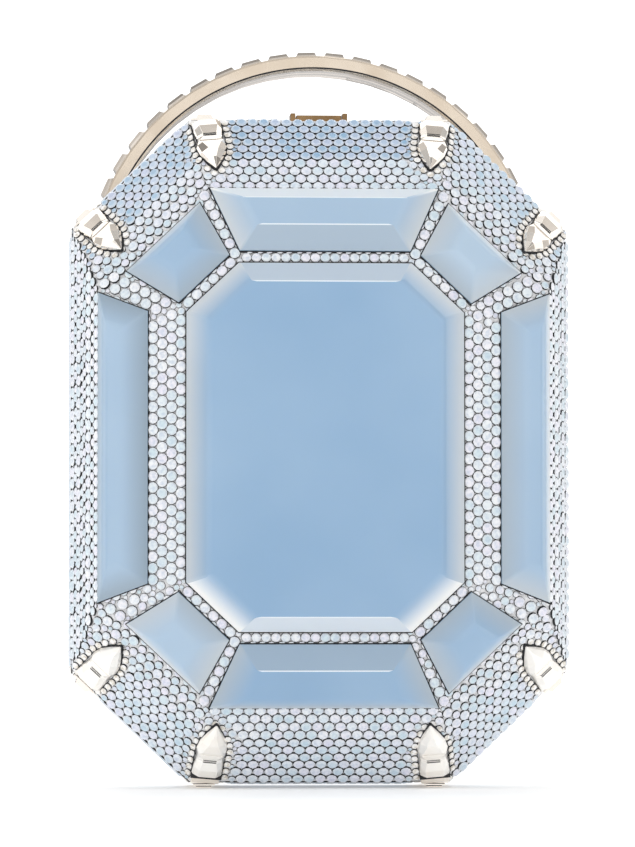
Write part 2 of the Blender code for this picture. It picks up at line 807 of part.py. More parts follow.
def build_hinge():
    gaps = hinge_knuckles - 1
    knuckle = (2 * hinge_half_length - gaps * seat_gap) / hinge_knuckles
    clear = hinge_knuckle_radius + 2 * seat_gap
    spans = []
    for index in range(hinge_knuckles):
        start = -hinge_half_length + index * (knuckle + seat_gap)
        spans.append((start, start + knuckle))
    full = (-hinge_half_length, hinge_half_length)
    bore = new_tool("hinge_bore", rod(hinge_bore_radius, (full[0] - overrun, full[1] + overrun),
                                      parting_y, hinge_z, small_segments))

    low = hinge_z - hinge_axis_inset + shell_wall + seat_gap
    high = low + hinge_leaf_thickness
    plate = block(full, (parting_y + clear, parting_y + hinge_leaf_reach), (low, high))
    box_leaf = new_part("hinge_leaf_box", plate, champagne_metal)
    for index, span in enumerate(spans[0::2]):
        finger = block(span, (parting_y, parting_y + clear + overrun), (low, high))
        fuse(box_leaf, new_tool(f"box_finger_{index}", finger))
        barrel = rod(hinge_knuckle_radius, span, parting_y, hinge_z, small_segments)
        fuse(box_leaf, new_tool(f"box_knuckle_{index}", barrel))
    cut(box_leaf, bore)

    far = rim_depth + hinge_leaf_reach
    thickness = hinge_leaf_thickness * crown_drop
    leaf = [on_crown_inside(clear, 0), on_crown_inside(clear, thickness),
            on_crown_inside(far, thickness), on_crown_inside(far, 0)]
    lid_leaf = new_part("hinge_leaf_lid", prism(leaf, full), champagne_metal, lid_axis)
    root = clear + hinge_leaf_thickness
    half = hinge_leaf_thickness / 2
    arm = [(parting_y, hinge_z - half), (parting_y, hinge_z + half),
           on_crown_inside(root, thickness - hinge_arm_inset), on_crown_inside(root, hinge_arm_inset)]
    for index, span in enumerate(spans[1::2]):
        fuse(lid_leaf, new_tool(f"lid_arm_{index}", prism(arm, span)))
        barrel = rod(hinge_knuckle_radius, span, parting_y, hinge_z, small_segments)
        fuse(lid_leaf, new_tool(f"lid_knuckle_{index}", barrel))
    cut(lid_leaf, bore)
    new_part("hinge_pin", rod(hinge_pin_radius, full, parting_y, hinge_z, small_segments), champagne_metal)


# Push clasp and latch

def build_clasp(rows):
    outside = girth_inner_z + shell_wall
    y = parting_y + button_depth
    bezel_low = outside + seat_gap
    bezel = block((-bezel_half_width, bezel_half_width), (y - bezel_half_depth, y + bezel_half_depth),
                  (bezel_low, bezel_low + bezel_thickness + bezel_end_rise))
    bezel = new_part("clasp_bezel", bezel, bronze_metal)
    around_x = bezel_half_width + crystal_clearance
    around_y = bezel_half_depth + crystal_clearance
    open_rows(rows, "clasp", block((-around_x, around_x), (y - around_y, y + around_y),
                                   (outside - overrun, outside + crystal_top + overrun)))
    slot_x = button_half_width + button_clearance
    slot_y = button_half_depth + button_clearance
    well = block((-slot_x, slot_x), (y - bezel_half_depth - overrun, y + bezel_half_depth + overrun),
                 (bezel_low + bezel_thickness, bezel_low + bezel_thickness + bezel_end_rise + overrun))
    cut(bezel, new_tool("bezel_well", well))
    slot = block((-slot_x, slot_x), (y - slot_y, y + slot_y), (bezel_low - overrun, bezel_low + girth_depth))
    cut(bezel, new_tool("bezel_slot", slot))

    flange_high = girth_inner_z - seat_gap
    flange_low = flange_high - flange_thickness
    stem_y = parting_y + stem_depth
    tongue_low = centre_z + girth_half_height - tongue_drop - tongue_thickness
    spring_low = flange_low - seat_gap - spring_length
    bracket_low = spring_low - seat_gap - bracket_plate
    catch_high = min(bracket_low, tongue_low) - catch_clearance
    catch_low = catch_high - catch_plate
    flange_middle = (flange_high + flange_low) / 2
    head_top = bezel_low + bezel_thickness + button_travel - button_sink
    head = block((-button_half_width, button_half_width), (y - button_half_depth, y + button_half_depth),
                 (flange_middle, head_top))
    button = new_part("push_button", head, bronze_metal, button_axis)
    flange_x = button_half_width + flange_margin
    flange_front = y - button_half_depth - flange_margin
    flange_rear = stem_y + spring_radius + spring_wire_radius
    fuse(button, new_tool("button_flange", block((-flange_x, flange_x), (flange_front, flange_rear),
                                                 (flange_low, flange_high))))
    fuse(button, new_tool("button_stem", block((-stem_half_width, stem_half_width),
                                               (stem_y - stem_half_depth, stem_y + stem_half_depth),
                                               (catch_low + catch_plate / 2, flange_middle))))
    window_front = parting_y + tongue_reach - tongue_bar - tongue_window_depth
    nose_front = window_front + (tongue_window_depth - catch_nose_depth) / 2
    fuse(button, new_tool("catch_arm", block((-catch_half_width, catch_half_width),
                                             (nose_front, stem_y + stem_half_depth + overrun),
                                             (catch_low, catch_high))))
    fuse(button, new_tool("catch_nose", block((-stem_half_width, stem_half_width),
                                              (nose_front + overrun / 10, nose_front + catch_nose_depth),
                                              (catch_low + catch_plate / 2, tongue_low - seat_gap))))
    build_bracket(bracket_low, stem_y)
    build_spring(spring_low, stem_y)
    build_tongue(tongue_low)


def build_bracket(bracket_low, stem_y):
    y_span = (stem_y - bracket_half_depth, stem_y + bracket_half_depth)
    high = girth_inner_z - seat_gap
    solid = block((-bracket_half_width, bracket_half_width), y_span, (bracket_low, high))
    bracket = new_part("latch_bracket", solid, champagne_metal)
    room = block((-bracket_room_half_width, bracket_room_half_width),
                 (y_span[0] - overrun, y_span[1] + overrun),
                 (bracket_low + bracket_plate, high + overrun))
    cut(bracket, new_tool("bracket_room", room))
    hole_x = stem_half_width + button_clearance
    hole_y = stem_half_depth + button_clearance
    hole = block((-hole_x, hole_x), (stem_y - hole_y, stem_y + hole_y),
                 (bracket_low - overrun, bracket_low + bracket_plate + overrun))
    cut(bracket, new_tool("stem_hole", hole))


def build_spring(spring_low, stem_y):
    curve = bpy.data.curves.new("button_spring", "CURVE")
    curve.dimensions = "3D"
    curve.bevel_depth = spring_wire_radius
    curve.bevel_resolution = 1
    curve.use_fill_caps = True
    spline = curve.splines.new("POLY")
    count = spring_turns * small_segments
    spline.points.add(count)
    rise = spring_length - 2 * spring_wire_radius
    for index in range(count + 1):
        angle = 2 * math.pi * index / small_segments
        spline.points[index].co = (spring_radius * math.cos(angle), stem_y + spring_radius * math.sin(angle),
                                   spring_low + spring_wire_radius + rise * index / count, 1)
    spring = bpy.data.objects.new("button_spring", curve)
    spring.data.materials.append(spring_steel)
    parts.objects.link(spring)


def build_tongue(tongue_low):
    seat = centre_z + girth_half_height - (shell_wall + seat_gap) * crown_drop
    tongue_high = tongue_low + tongue_thickness
    bend = rim_depth + (seat - tongue_high) / crown_slope
    lower_seat = seat - tongue_thickness * crown_drop
    lower_bend = rim_depth + (lower_seat - tongue_low) / crown_slope
    end = bend + tongue_foot_reach
    fall = crown_slope * (end - rim_depth)
    outline = [(parting_y + tongue_reach, tongue_high), (parting_y - bend, tongue_high),
               (parting_y - end, seat - fall), (parting_y - end, lower_seat - fall),
               (parting_y - lower_bend, tongue_low), (parting_y + tongue_reach, tongue_low)]
    tongue = new_part("latch_tongue", prism(outline, (-tongue_half_width, tongue_half_width)),
                      champagne_metal, lid_axis)
    rear = parting_y + tongue_reach - tongue_bar
    window = block((-tongue_window_half_width, tongue_window_half_width), (rear - tongue_window_depth, rear),
                   (tongue_low - overrun, tongue_high + overrun))
    cut(tongue, new_tool("tongue_window", window))


# Handle, lugs and pivot screws

def handle_width(angle):
    return handle_end_width + (handle_top_width - handle_end_width) * math.sin(angle)


def band_section(bm, angle):
    half = handle_width(angle) / 2
    stud_half = half * stud_width_share
    inner = handle_inner_radius
    outer = handle_outer_radius
    chamfer = handle_edge_chamfer
    profile = [(-half, outer - chamfer), (-half + chamfer, outer), (-stud_half, outer), (stud_half, outer),
               (half - chamfer, outer), (half, outer - chamfer), (half, inner + chamfer),
               (half - chamfer, inner), (-half + chamfer, inner), (-half, inner + chamfer)]
    ring = []
    for y, radius in profile:
        point = (radius * math.cos(angle), parting_y + pivot_depth + y, pivot_z + radius * math.sin(angle))
        ring.append(bm.verts.new(point))
    return ring


def build_handle(rows):
    bm = bmesh.new()
    stud_half_angle = stud_length / handle_outer_radius / 2
    start = math.asin(eye_overlap_share * eye_radius / handle_inner_radius)
    angles = [start]
    stud_starts = []
    for index in range(stud_count):
        middle = math.pi / 2 + stud_phase + (index - (stud_count - 1) / 2) * stud_pitch
        stud_starts.append(len(angles))
        angles += [middle - stud_half_angle, middle + stud_half_angle]
    angles.append(math.pi - start)
    rings = [band_section(bm, angle) for angle in angles]
    for ring, next_ring in zip(rings, rings[1:]):
        bridge(bm, ring, next_ring)
    bm.faces.new(rings[0])
    bm.faces.new(rings[-1])
    bmesh.ops.recalc_face_normals(bm, faces=bm.faces)
    studs = []
    for index in stud_starts:
        corners = {rings[index][2], rings[index][3], rings[index + 1][2], rings[index + 1][3]}
        studs += [face for face in bm.faces if set(face.verts) == corners]
    lower = stud_height / 2
    bmesh.ops.inset_individual(bm, faces=studs, thickness=stud_step, depth=lower, use_even_offset=True)
    bmesh.ops.inset_individual(bm, faces=studs, thickness=stud_bevel, depth=stud_height - lower,
                               use_even_offset=True)
    band = new_part("handle_band", bm, champagne_metal, handle_axis)
    y = parting_y + pivot_depth
    for side, name in ((-1, "left"), (1, "right")):
        inner_face = side * (handle_inner_radius - eye_boss)
        outer_face = side * (handle_outer_radius + eye_boss)
        eye = rod(eye_radius, (inner_face, outer_face), y, pivot_z, fine_segments)
        fuse(band, new_tool(f"eye_{name}", eye))
        bore = rod(screw_bore_radius, (side * (handle_inner_radius - lug_width), outer_face + side * overrun),
                   y, pivot_z, small_segments)
        bore_tool = new_tool(f"pivot_bore_{name}", bore)
        cut(band, bore_tool)
        build_pivot(side, name, y, bore_tool, rows)


def build_pivot(side, name, y, bore_tool, rows):
    inner_face = handle_inner_radius - eye_boss
    outer_face = handle_outer_radius + eye_boss
    washer_out = inner_face - seat_gap
    washer_in = washer_out - washer_thickness
    lug_out = washer_in - seat_gap
    lug_in = lug_out - lug_width

    around_x = sorted((side * (lug_in - crystal_clearance), side * (lug_out + crystal_clearance)))
    around_z = lug_plate_half_height + crystal_clearance
    back = parting_y + back_depth
    open_rows(rows, f"handle_lug_{name}", block(around_x, (back - overrun, back + crystal_top + overrun),
                                                (pivot_z - around_z, pivot_z + around_z)))
    seat = back + seat_gap
    plate = seat + lug_plate
    outline = [(seat, pivot_z - lug_plate_half_height), (plate, pivot_z - lug_plate_half_height)]
    outline += [(plate, pivot_z - lug_radius - lug_plate)]
    outline += arc((y, pivot_z), lug_radius, -math.pi / 2, math.pi / 2, small_segments)
    outline += [(plate, pivot_z + lug_radius + lug_plate), (plate, pivot_z + lug_plate_half_height),
                (seat, pivot_z + lug_plate_half_height)]
    lug = new_part(f"handle_lug_{name}", prism(outline, (side * lug_in, side * lug_out)), champagne_metal)
    hole = rod(screw_bore_radius, (side * (lug_in + overrun), side * (lug_out + overrun)), y, pivot_z,
               small_segments)
    cut(lug, new_tool(f"lug_hole_{name}", hole))

    washer = rod(washer_radius, (side * washer_in, side * washer_out), y, pivot_z, fine_segments)
    washer = new_part(f"handle_washer_{name}", washer, champagne_metal)
    cut(washer, bore_tool)

    head_in = outer_face + seat_gap
    head_out = head_in + screw_head_thickness
    head = rod(screw_head_radius, (side * head_in, side * head_out), y, pivot_z, fine_segments)
    screw = new_part(f"pivot_screw_{name}", head, champagne_metal)
    shank = rod(screw_radius, (side * (lug_in + overrun + seat_gap), side * (head_in + seat_gap)), y, pivot_z,
                small_segments)
    fuse(screw, new_tool(f"screw_shank_{name}", shank))
    slot_half = screw_slot / 2
    slot = block(sorted((side * (head_out - slot_half), side * (head_out + overrun))),
                 (y - screw_head_radius - overrun, y + screw_head_radius + overrun),
                 (pivot_z - slot_half, pivot_z + slot_half))
    cut(screw, new_tool(f"screw_slot_{name}", slot))


build_shells()
build_linings()
build_frames()
lid_crystal_rows, box_crystal_rows = build_crystal_rows()
build_ring_stones(lid_crystal_rows)
build_centre_stone(lid_crystal_rows)
build_claws(lid_crystal_rows, box_crystal_rows)
build_hinge()
build_clasp(box_crystal_rows)
build_handle(box_crystal_rows)
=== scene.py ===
import json
import math
from collections import namedtuple

import bmesh
import bpy
from mathutils import Matrix, Vector
from mathutils.geometry import convex_hull_2d


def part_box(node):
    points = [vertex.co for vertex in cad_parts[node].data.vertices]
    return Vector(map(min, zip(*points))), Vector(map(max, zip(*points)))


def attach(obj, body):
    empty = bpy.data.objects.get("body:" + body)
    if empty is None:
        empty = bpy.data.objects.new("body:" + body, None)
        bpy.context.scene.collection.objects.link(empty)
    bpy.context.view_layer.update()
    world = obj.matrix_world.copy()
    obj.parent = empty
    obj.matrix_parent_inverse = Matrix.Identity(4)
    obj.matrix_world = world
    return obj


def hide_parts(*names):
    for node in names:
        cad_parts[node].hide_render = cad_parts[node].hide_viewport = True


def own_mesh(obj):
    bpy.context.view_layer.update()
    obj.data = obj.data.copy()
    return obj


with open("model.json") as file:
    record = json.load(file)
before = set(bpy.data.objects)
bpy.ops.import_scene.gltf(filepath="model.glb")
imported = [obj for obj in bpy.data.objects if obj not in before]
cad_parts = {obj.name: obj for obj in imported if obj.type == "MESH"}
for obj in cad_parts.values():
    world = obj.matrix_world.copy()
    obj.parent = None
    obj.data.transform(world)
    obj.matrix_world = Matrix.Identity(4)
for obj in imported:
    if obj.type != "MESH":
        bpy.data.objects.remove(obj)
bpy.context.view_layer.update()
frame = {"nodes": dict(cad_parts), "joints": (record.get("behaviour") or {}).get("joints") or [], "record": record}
print("frame loaded:", len(frame["nodes"]), "nodes")

mm = 0.001
finishes = {}


def hexColour(text):  # sRGB hex to linear
    channels = [int(text[at:at + 2], 16) / 255 for at in (1, 3, 5)]
    linear = [c / 12.92 if c <= 0.04045 else ((c + 0.055) / 1.055) ** 2.4 for c in channels]
    return (*linear, 1.0)


def setStops(ramp, stops):
    elements = ramp.color_ramp.elements
    while len(elements) < len(stops):
        elements.new(0.5)
    for element, (place, colour) in zip(elements, stops):
        element.position = place
        element.color = hexColour(colour)


def addNode(tree, kind, values=None, links=None, stops=None, **settings):
    node = tree.nodes.new(kind)
    for name, value in settings.items():
        setattr(node, name, value)
    for name, value in (values or {}).items():
        node.inputs[name].default_value = value
    for name, source in (links or {}).items():  # from a socket, or from a node's first output
        tree.links.new(getattr(source, "outputs", [source])[0], node.inputs[name])
    if stops:
        setStops(node, stops)
    return node


def newFinish(name, **sockets):
    finish = bpy.data.materials.new(name)
    finish.use_nodes = True
    finishes[name] = finish
    tree = finish.node_tree
    shader = tree.nodes["Principled BSDF"]
    for socket, value in sockets.items():
        shader.inputs[socket.replace("_", " ")].default_value = value
    return tree, shader, addNode(tree, "ShaderNodeTexCoord").outputs["Object"]


def addObject(name, data):
    made = bpy.data.objects.new(name, data)
    bpy.context.scene.collection.objects.link(made)
    return made


def addPiece(name, mesh, body):
    piece = addObject(name, mesh)
    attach(piece, body)
    return piece


def meshOf(name, bm):
    mesh = bpy.data.meshes.new(name)
    bm.to_mesh(mesh)
    bm.free()
    return mesh


def realMesh(name, source):  # the mesh as the source's modifier leaves it
    evaluated = source.evaluated_get(bpy.context.evaluated_depsgraph_get())
    real = bpy.data.meshes.new_from_object(evaluated)
    real.name = name
    bpy.data.objects.remove(source)
    return real


def storeValues(mesh, name, domain, values):
    mesh.attributes.new(name, "FLOAT", domain).data.foreach_set("value", values)


def addGrained(name, size, stops, detail=2.0, stretch=None, relief=None, gloss=None, **sockets):
    # colour in a pattern of a real size, with a finer relief and an uneven gloss where they are given
    tree, shader, place = newFinish(name, **sockets)
    source = place
    if stretch:
        source = addNode(tree, "ShaderNodeMapping", {"Scale": stretch}, {"Vector": place})
    pattern = addNode(tree, "ShaderNodeTexNoise", {"Scale": 1 / size, "Detail": detail}, {"Vector": source})
    colour = addNode(tree, "ShaderNodeValToRGB", None, {"Fac": pattern}, stops)
    tree.links.new(colour.outputs["Color"], shader.inputs["Base Color"])
    if relief:
        grainSize, grainDetail, strength, depth = relief
        grain = addNode(tree, "ShaderNodeTexNoise", {"Scale": 1 / grainSize, "Detail": grainDetail},
                        {"Vector": place})
        bump = addNode(tree, "ShaderNodeBump", {"Strength": strength, "Distance": depth},
                       {"Height": grain})
        tree.links.new(bump.outputs["Normal"], shader.inputs["Normal"])
    if gloss:
        smooth, rough = gloss
        uneven = addNode(tree, "ShaderNodeMapRange",
                         {"From Min": 0.3, "From Max": 0.7, "To Min": smooth, "To Max": rough},
                         {"Value": pattern})
        tree.links.new(uneven.outputs["Result"], shader.inputs["Roughness"])


crystalFinish = {
    "glass": [(0.0, "#F5F6F8"), (0.5, "#D6E2EE"), (1.0, "#A2C2E2")],  # from the ring to the outer rows
    "hues": [(0.0, "#F2EEFA"), (0.45, "#FFFFFF"), (1.0, "#E6F4F5")],  # each crystal leans to lilac or to aqua
    "crownGlass": "#FDFEFF",
    "crownShare": 0.5,
    "mottleSize": 0.9 * mm,
    "mottleGlass": "#AFC0D6",
    "mottleShare": 0.5,
    "bedGrain": 0.5 * mm,
}


def addOpalCrystal():
    # opal glass chaton with a foil back: milky body, sharp gloss, a paler crown that is a painted highlight,
    # mottled by its lower facets
    tree, shader, place = newFinish("opalCrystal", Roughness=0.12, IOR=1.56, Coat_Weight=0.5,
                                    Coat_Roughness=0.04)
    told = {name: addNode(tree, "ShaderNodeAttribute", attribute_name=name).outputs["Fac"]
            for name in ("shade", "tint", "crown")}
    glass = addNode(tree, "ShaderNodeValToRGB", None, {"Fac": told["shade"]}, crystalFinish["glass"])
    hue = addNode(tree, "ShaderNodeValToRGB", None, {"Fac": told["tint"]}, crystalFinish["hues"])
    tinted = addNode(tree, "ShaderNodeMix", {0: 1.0}, {6: glass, 7: hue},
                     data_type="RGBA", blend_type="MULTIPLY")
    mottle = addNode(tree, "ShaderNodeTexNoise", {"Scale": 1 / crystalFinish["mottleSize"]},
                     {"Vector": place})
    share = addNode(tree, "ShaderNodeMapRange",
                    {"From Min": 0.4, "From Max": 0.65, "To Max": crystalFinish["mottleShare"]},
                    {"Value": mottle})
    table = addNode(tree, "ShaderNodeMix", {7: hexColour(crystalFinish["mottleGlass"])},
                    {0: share, 6: tinted.outputs[2]}, data_type="RGBA")
    paler = addNode(tree, "ShaderNodeMath", {1: crystalFinish["crownShare"]}, {0: told["crown"]},
                    operation="MULTIPLY")
    colour = addNode(tree, "ShaderNodeMix", {7: hexColour(crystalFinish["crownGlass"])},
                     {0: paler, 6: table.outputs[2]}, data_type="RGBA")
    tree.links.new(colour.outputs[2], shader.inputs["Base Color"])


stoneFinish = {
    "body": [(0.3, "#8BAECF"), (0.75, "#9DBBD7")],
    # painted light picks each bevel's place along this ramp
    "bevels": [(0.0, "#F2F4F5"), (1.0, "#8299AD")],  # pale to deep
    # painted highlight along the lit ridges
    "litRidge": "#EAF2F9",
    "milk": "#C6D8E7",
    "cloudSize": 45 * mm,
    "polishSize": 6 * mm,
}


def addCastResin():
    # tinted resin, cast and polished: deep where it is thick, pale where bevels thin it over its white back; each
    # bevel's pale tone is also painted light and shade, set by the way it faces
    tree, shader, place = newFinish("castResin", Roughness=0.07, IOR=1.5, Coat_Weight=0.3,
                                    Coat_Roughness=0.03, Subsurface_Weight=0.15,
                                    Subsurface_Radius=(0.003, 0.004, 0.006), Subsurface_Scale=0.5)
    told = {name: addNode(tree, "ShaderNodeAttribute", attribute_name=name).outputs["Fac"]
            for name in ("milk", "thickness", "bevelTone", "ridge")}
    cloud = addNode(tree, "ShaderNodeTexNoise", {"Scale": 1 / stoneFinish["cloudSize"]}, {"Vector": place})
    body = addNode(tree, "ShaderNodeValToRGB", None, {"Fac": cloud}, stoneFinish["body"])
    milky = addNode(tree, "ShaderNodeMix", {7: hexColour(stoneFinish["milk"])},
                    {0: told["milk"], 6: body}, data_type="RGBA")
    thin = addNode(tree, "ShaderNodeMapRange", {"From Min": 0.35, "To Min": 1.0, "To Max": 0.0},
                   {"Value": told["thickness"]})
    bevels = addNode(tree, "ShaderNodeValToRGB", None, {"Fac": told["bevelTone"]}, stoneFinish["bevels"])
    colour = addNode(tree, "ShaderNodeMix", None,
                     {0: thin, 6: milky.outputs[2], 7: bevels},
                     data_type="RGBA")
    lit = addNode(tree, "ShaderNodeMix", {7: hexColour(stoneFinish["litRidge"])},
                  {0: told["ridge"], 6: colour.outputs[2]}, data_type="RGBA")
    swirl = addNode(tree, "ShaderNodeTexNoise", {"Scale": 1 / stoneFinish["polishSize"], "Detail": 1.0},
                    {"Vector": place})
    bump = addNode(tree, "ShaderNodeBump", {"Strength": 0.05, "Distance": 0.1 * mm},
                   {"Height": swirl})
    tree.links.new(lit.outputs[2], shader.inputs["Base Color"])
    tree.links.new(bump.outputs["Normal"], shader.inputs["Normal"])


plates = {  # light and deep tone, smoothest and roughest gloss, strength of the polishing grain
    "champagnePlate": ("#FFF9F1", "#F8EFE4", (0.1, 0.2), 0.15),
    # a paler, rougher copy of the champagne plate for the lower claws: painted light from below
    "brushedPlate": ("#FFFDF9", "#FFF9F1", (0.4, 0.55), 0.1),
    "satinPlate": ("#E8DAC8", "#DBCBB7", (0.2, 0.32), 0.25),
    # a darker copy of the plate: painted shade on some claw facets and on the studs' slopes
    "duskPlate": ("#BDB5AC", "#A69E95", (0.15, 0.25), 0.2),
    "bronzePlate": ("#A3845F", "#6A5238", (0.2, 0.35), 0.2),
    "springSteel": ("#B9BAC0", "#8E9096", (0.2, 0.35), 0.3),
}
smudgeSize, polishGrain = 9 * mm, 0.35 * mm

addOpalCrystal()
# small clear chatons with a silver foil back, which edge the claws
addGrained("clearCrystal", crystalFinish["mottleSize"],
           [(0.36, "#D9D2C6"), (0.48, "#F6F2EC"), (0.65, "#FFFFFF")],
           Roughness=0.08, IOR=1.56, Coat_Weight=0.6, Coat_Roughness=0.03)
# near-black on the wall of each crystal: painted shadow, which draws the dark ring round it
addGrained("foilEdge", crystalFinish["bedGrain"], [(0.3, "#07080B"), (0.8, "#1E2128")], Roughness=0.6)
# the crystals' bed, cast in white resin on the plated shell: it shows pale in the small gaps between them
addGrained("crystalBed", crystalFinish["bedGrain"], [(0.3, "#E2E4E8"), (0.6, "#FCFCFD")], 3.0,
           relief=(crystalFinish["bedGrain"], 3.0, 0.3, 0.05 * mm), Metallic=0.1, Roughness=0.6)
addCastResin()
# plated metal, polished: a thin skin whose gloss is broken by faint smudges and polishing grain
for plateName, (light, deep, gloss, grainStrength) in plates.items():
    addGrained(plateName, smudgeSize, [(0.35, light), (0.8, deep)], 3.0,
               relief=(polishGrain, 2.0, grainStrength, 0.02 * mm), gloss=gloss, Metallic=1.0)
# champagne plate inside the handle's arch, with grey-brown streaks along the band: painted reflection
addGrained("streakedPlate", 2.2 * mm, [(0.37, "#4E433A"), (0.5, "#94867A"), (0.63, "#CFC2B5")], 3.0,
           stretch=(0.04, 1.0, 0.04), Metallic=1.0, Roughness=0.2)
# matt and almost black: painted shadow round the stones and claws, in the claws' grooves, under the bottom claws
# and on the feet's recessed steps, and a painted dark reflection along the handle's inner edge
addGrained("blackenedSeat", 0.6 * mm, [(0.3, "#15161A"), (0.8, "#2B2B2F")], Roughness=0.7)
# split-hide suede, brushed: short nap, soft sheen, patches where the nap lies another way
addGrained("suedeLining", 14 * mm, [(0.3, "#CFC4B2"), (0.7, "#E2D9CA")], 4.0,
           relief=(0.4 * mm, 3.0, 0.6, 0.15 * mm), Roughness=0.95, Sheen_Weight=0.5, Sheen_Roughness=0.4)
slotFinish = {
    "champagne_metal": "champagnePlate", "pave_metal": "crystalBed", "set_crystal": "opalCrystal",
    "blue_stone": "castResin", "bronze_metal": "bronzePlate", "spring_steel": "springSteel",
    "ivory_suede": "suedeLining",
}
nodeSlot = {row["node"]: row["material_slot"] for row in frame["record"]["subparts"]}
for nodeName, node in frame["nodes"].items():
    node.data.materials.clear()
    node.data.materials.append(finishes[slotFinish[nodeSlot[nodeName]]])
print("finishes made:", len(finishes))


caseShape = {  # the metal's outlines in millimetres: insets at sides, ends and corners, and the depth
    "halfWidth": 62.6,
    "halfHeight": 83.7,
    "cornerCut": (29.6, 28.0),
    "lid": [(0, 0, 0, 1.65), (3.7, 11.1, 9.7, 12.55), (6.1, 18.9, 16.5, 17.65), (27.9, 37.7, 35.2, 22.65)],
    "box": [(0, 0, 0, 1.65), (0, 0, 0, 18.0), (5, 5, 5, 23.0)],
}
Outline = namedtuple("Outline", "side end corner depth")
Face = namedtuple("Face", "half way band kind axes length left right")  # left, right: its slanted sides
Crystal = namedtuple("Crystal", "point normal width shade")

partingY = frame["joints"][0]["pos_m"][1]
stoneLow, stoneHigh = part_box("centre_stone")
centreZ = (stoneLow.z + stoneHigh.z) / 2
cutWidth, cutHeight = caseShape["cornerCut"]
cornerX = cutHeight / math.hypot(cutWidth, cutHeight)
cornerZ = cutWidth / math.hypot(cutWidth, cutHeight)
halfCorner = cornerX * (caseShape["halfWidth"] - cutWidth) + cornerZ * caseShape["halfHeight"]
ways = {
    "top": ("end", 0, 1), "bottom": ("end", 0, -1), "right": ("side", 1, 0), "left": ("side", -1, 0),
    "topRight": ("corner", cornerX, cornerZ), "bottomRight": ("corner", cornerX, -cornerZ),
    "bottomLeft": ("corner", -cornerX, -cornerZ), "topLeft": ("corner", -cornerX, cornerZ),
}


def axesOf(along, slope, normal, origin):
    axes = Matrix((along, slope, normal)).transposed().to_4x4()
    axes.translation = origin
    return axes


def outlinesOf(rows):
    full = (caseShape["halfWidth"], caseShape["halfHeight"], halfCorner)
    return [Outline(*[(size - inset) * mm for size, inset in zip(full, row)], row[3] * mm) for row in rows]


def cornerOf(outline):  # where the outline's end stops, along X, and where its side stops, along Z
    endX = (outline.corner - cornerZ * outline.end) / cornerX
    return endX, (outline.corner - cornerX * outline.side) / cornerZ


def edgeEnds(outline, way):  # where the outline's edge starts and stops, along the face
    kind, wayX, wayZ = way
    endX, sideZ = cornerOf(outline)
    if kind == "end":
        return -endX, endX
    if kind == "side":
        return -sideZ, sideZ
    points = [(math.copysign(endX, wayX), math.copysign(outline.end, wayZ)),
              (math.copysign(outline.side, wayX), math.copysign(sideZ, wayZ))]
    return sorted(x * wayZ - z * wayX for x, z in points)


def makeFaces(outlines, sign, half):
    faces = []
    for band, (first, second) in enumerate(zip(outlines, outlines[1:])):
        for name, way in ways.items():
            kind, wayX, wayZ = way
            outward = Vector((wayX, 0, wayZ))
            fall = getattr(first, kind) - getattr(second, kind)
            run = Vector((0, sign * (second.depth - first.depth), 0)) - outward * fall
            slope = run.normalized()
            normal = (outward - slope * outward.dot(slope)).normalized()
            reach = getattr(first, kind)
            axes = axesOf(Vector((wayZ, 0, -wayX)), slope, normal,
                          (reach * wayX, partingY + sign * first.depth, centreZ + reach * wayZ))
            left, right = zip(edgeEnds(first, way), edgeEnds(second, way))
            faces.append(Face(half, name, band, kind, axes, run.length, left, right))
    return faces


lidOutlines = outlinesOf(caseShape["lid"])
boxOutlines = outlinesOf(caseShape["box"])
lidFaces = makeFaces(lidOutlines, -1, "lid")
boxFaces = makeFaces(boxOutlines, 1, "box")


def sideLimits(face, down):  # the face's two ends at a distance down its slope
    share = down / face.length
    return [edge[0] + (edge[1] - edge[0]) * share for edge in (face.left, face.right)]


def edgesOf(shape):
    return zip(shape, shape[1:] + shape[:1])


def hullOf(points):
    shape = [points[at] for at in convex_hull_2d(points)]
    area = sum(a.cross(b) for a, b in edgesOf(shape)) / 2
    return (shape if area > 0 else shape[::-1]), abs(area)


touching = (-0.6 * mm, 1.1 * mm)  # how far under and over a face a piece counts as standing on it


def footprint(nodeName, axes):
    turned = axes.inverted()
    points = [turned @ vertex.co for vertex in frame["nodes"][nodeName].data.vertices]
    points = [point.to_2d() for point in points if touching[0] < point.z < touching[1]]
    if len(points) < 3:
        return None
    shape, area = hullOf(points)
    return shape if area >= (0.5 * mm) ** 2 else None


def clearance(point, shape):  # how far outside a shape a point lies, less than nothing inside it
    far = -1.0
    for a, b in edgesOf(shape):
        edge = b - a
        if edge.length > 1e-7:
            far = max(far, -edge.normalized().cross(point - a))
    return far


def planPoints(nodeName):
    return [Vector((vertex.co.x, vertex.co.z)) for vertex in frame["nodes"][nodeName].data.vertices]


def sharpCorners(shape, least):
    return [here for before, here, after in zip(shape[-1:] + shape[:-1], shape, shape[1:] + shape[:1])
            if abs((here - before).normalized().cross((after - here).normalized())) > least]


stoneNodes = [name for name, slot in nodeSlot.items() if slot == "blue_stone"]
clawNodes = [name for name in nodeSlot if "claw" in name or name.startswith("foot_")]
otherNodes = ["clasp_bezel", "handle_lug_left", "handle_lug_right"]
stonePlans = [hullOf(planPoints(name))[0] for name in stoneNodes]


def shapesOn(face):  # the claws and fittings that stand on a face
    found = []
    for isClaw, group in ((True, clawNodes), (False, otherNodes)):
        found += [(isClaw, footprint(name, face.axes)) for name in group]
    return [(isClaw, shape) for isClaw, shape in found if shape]


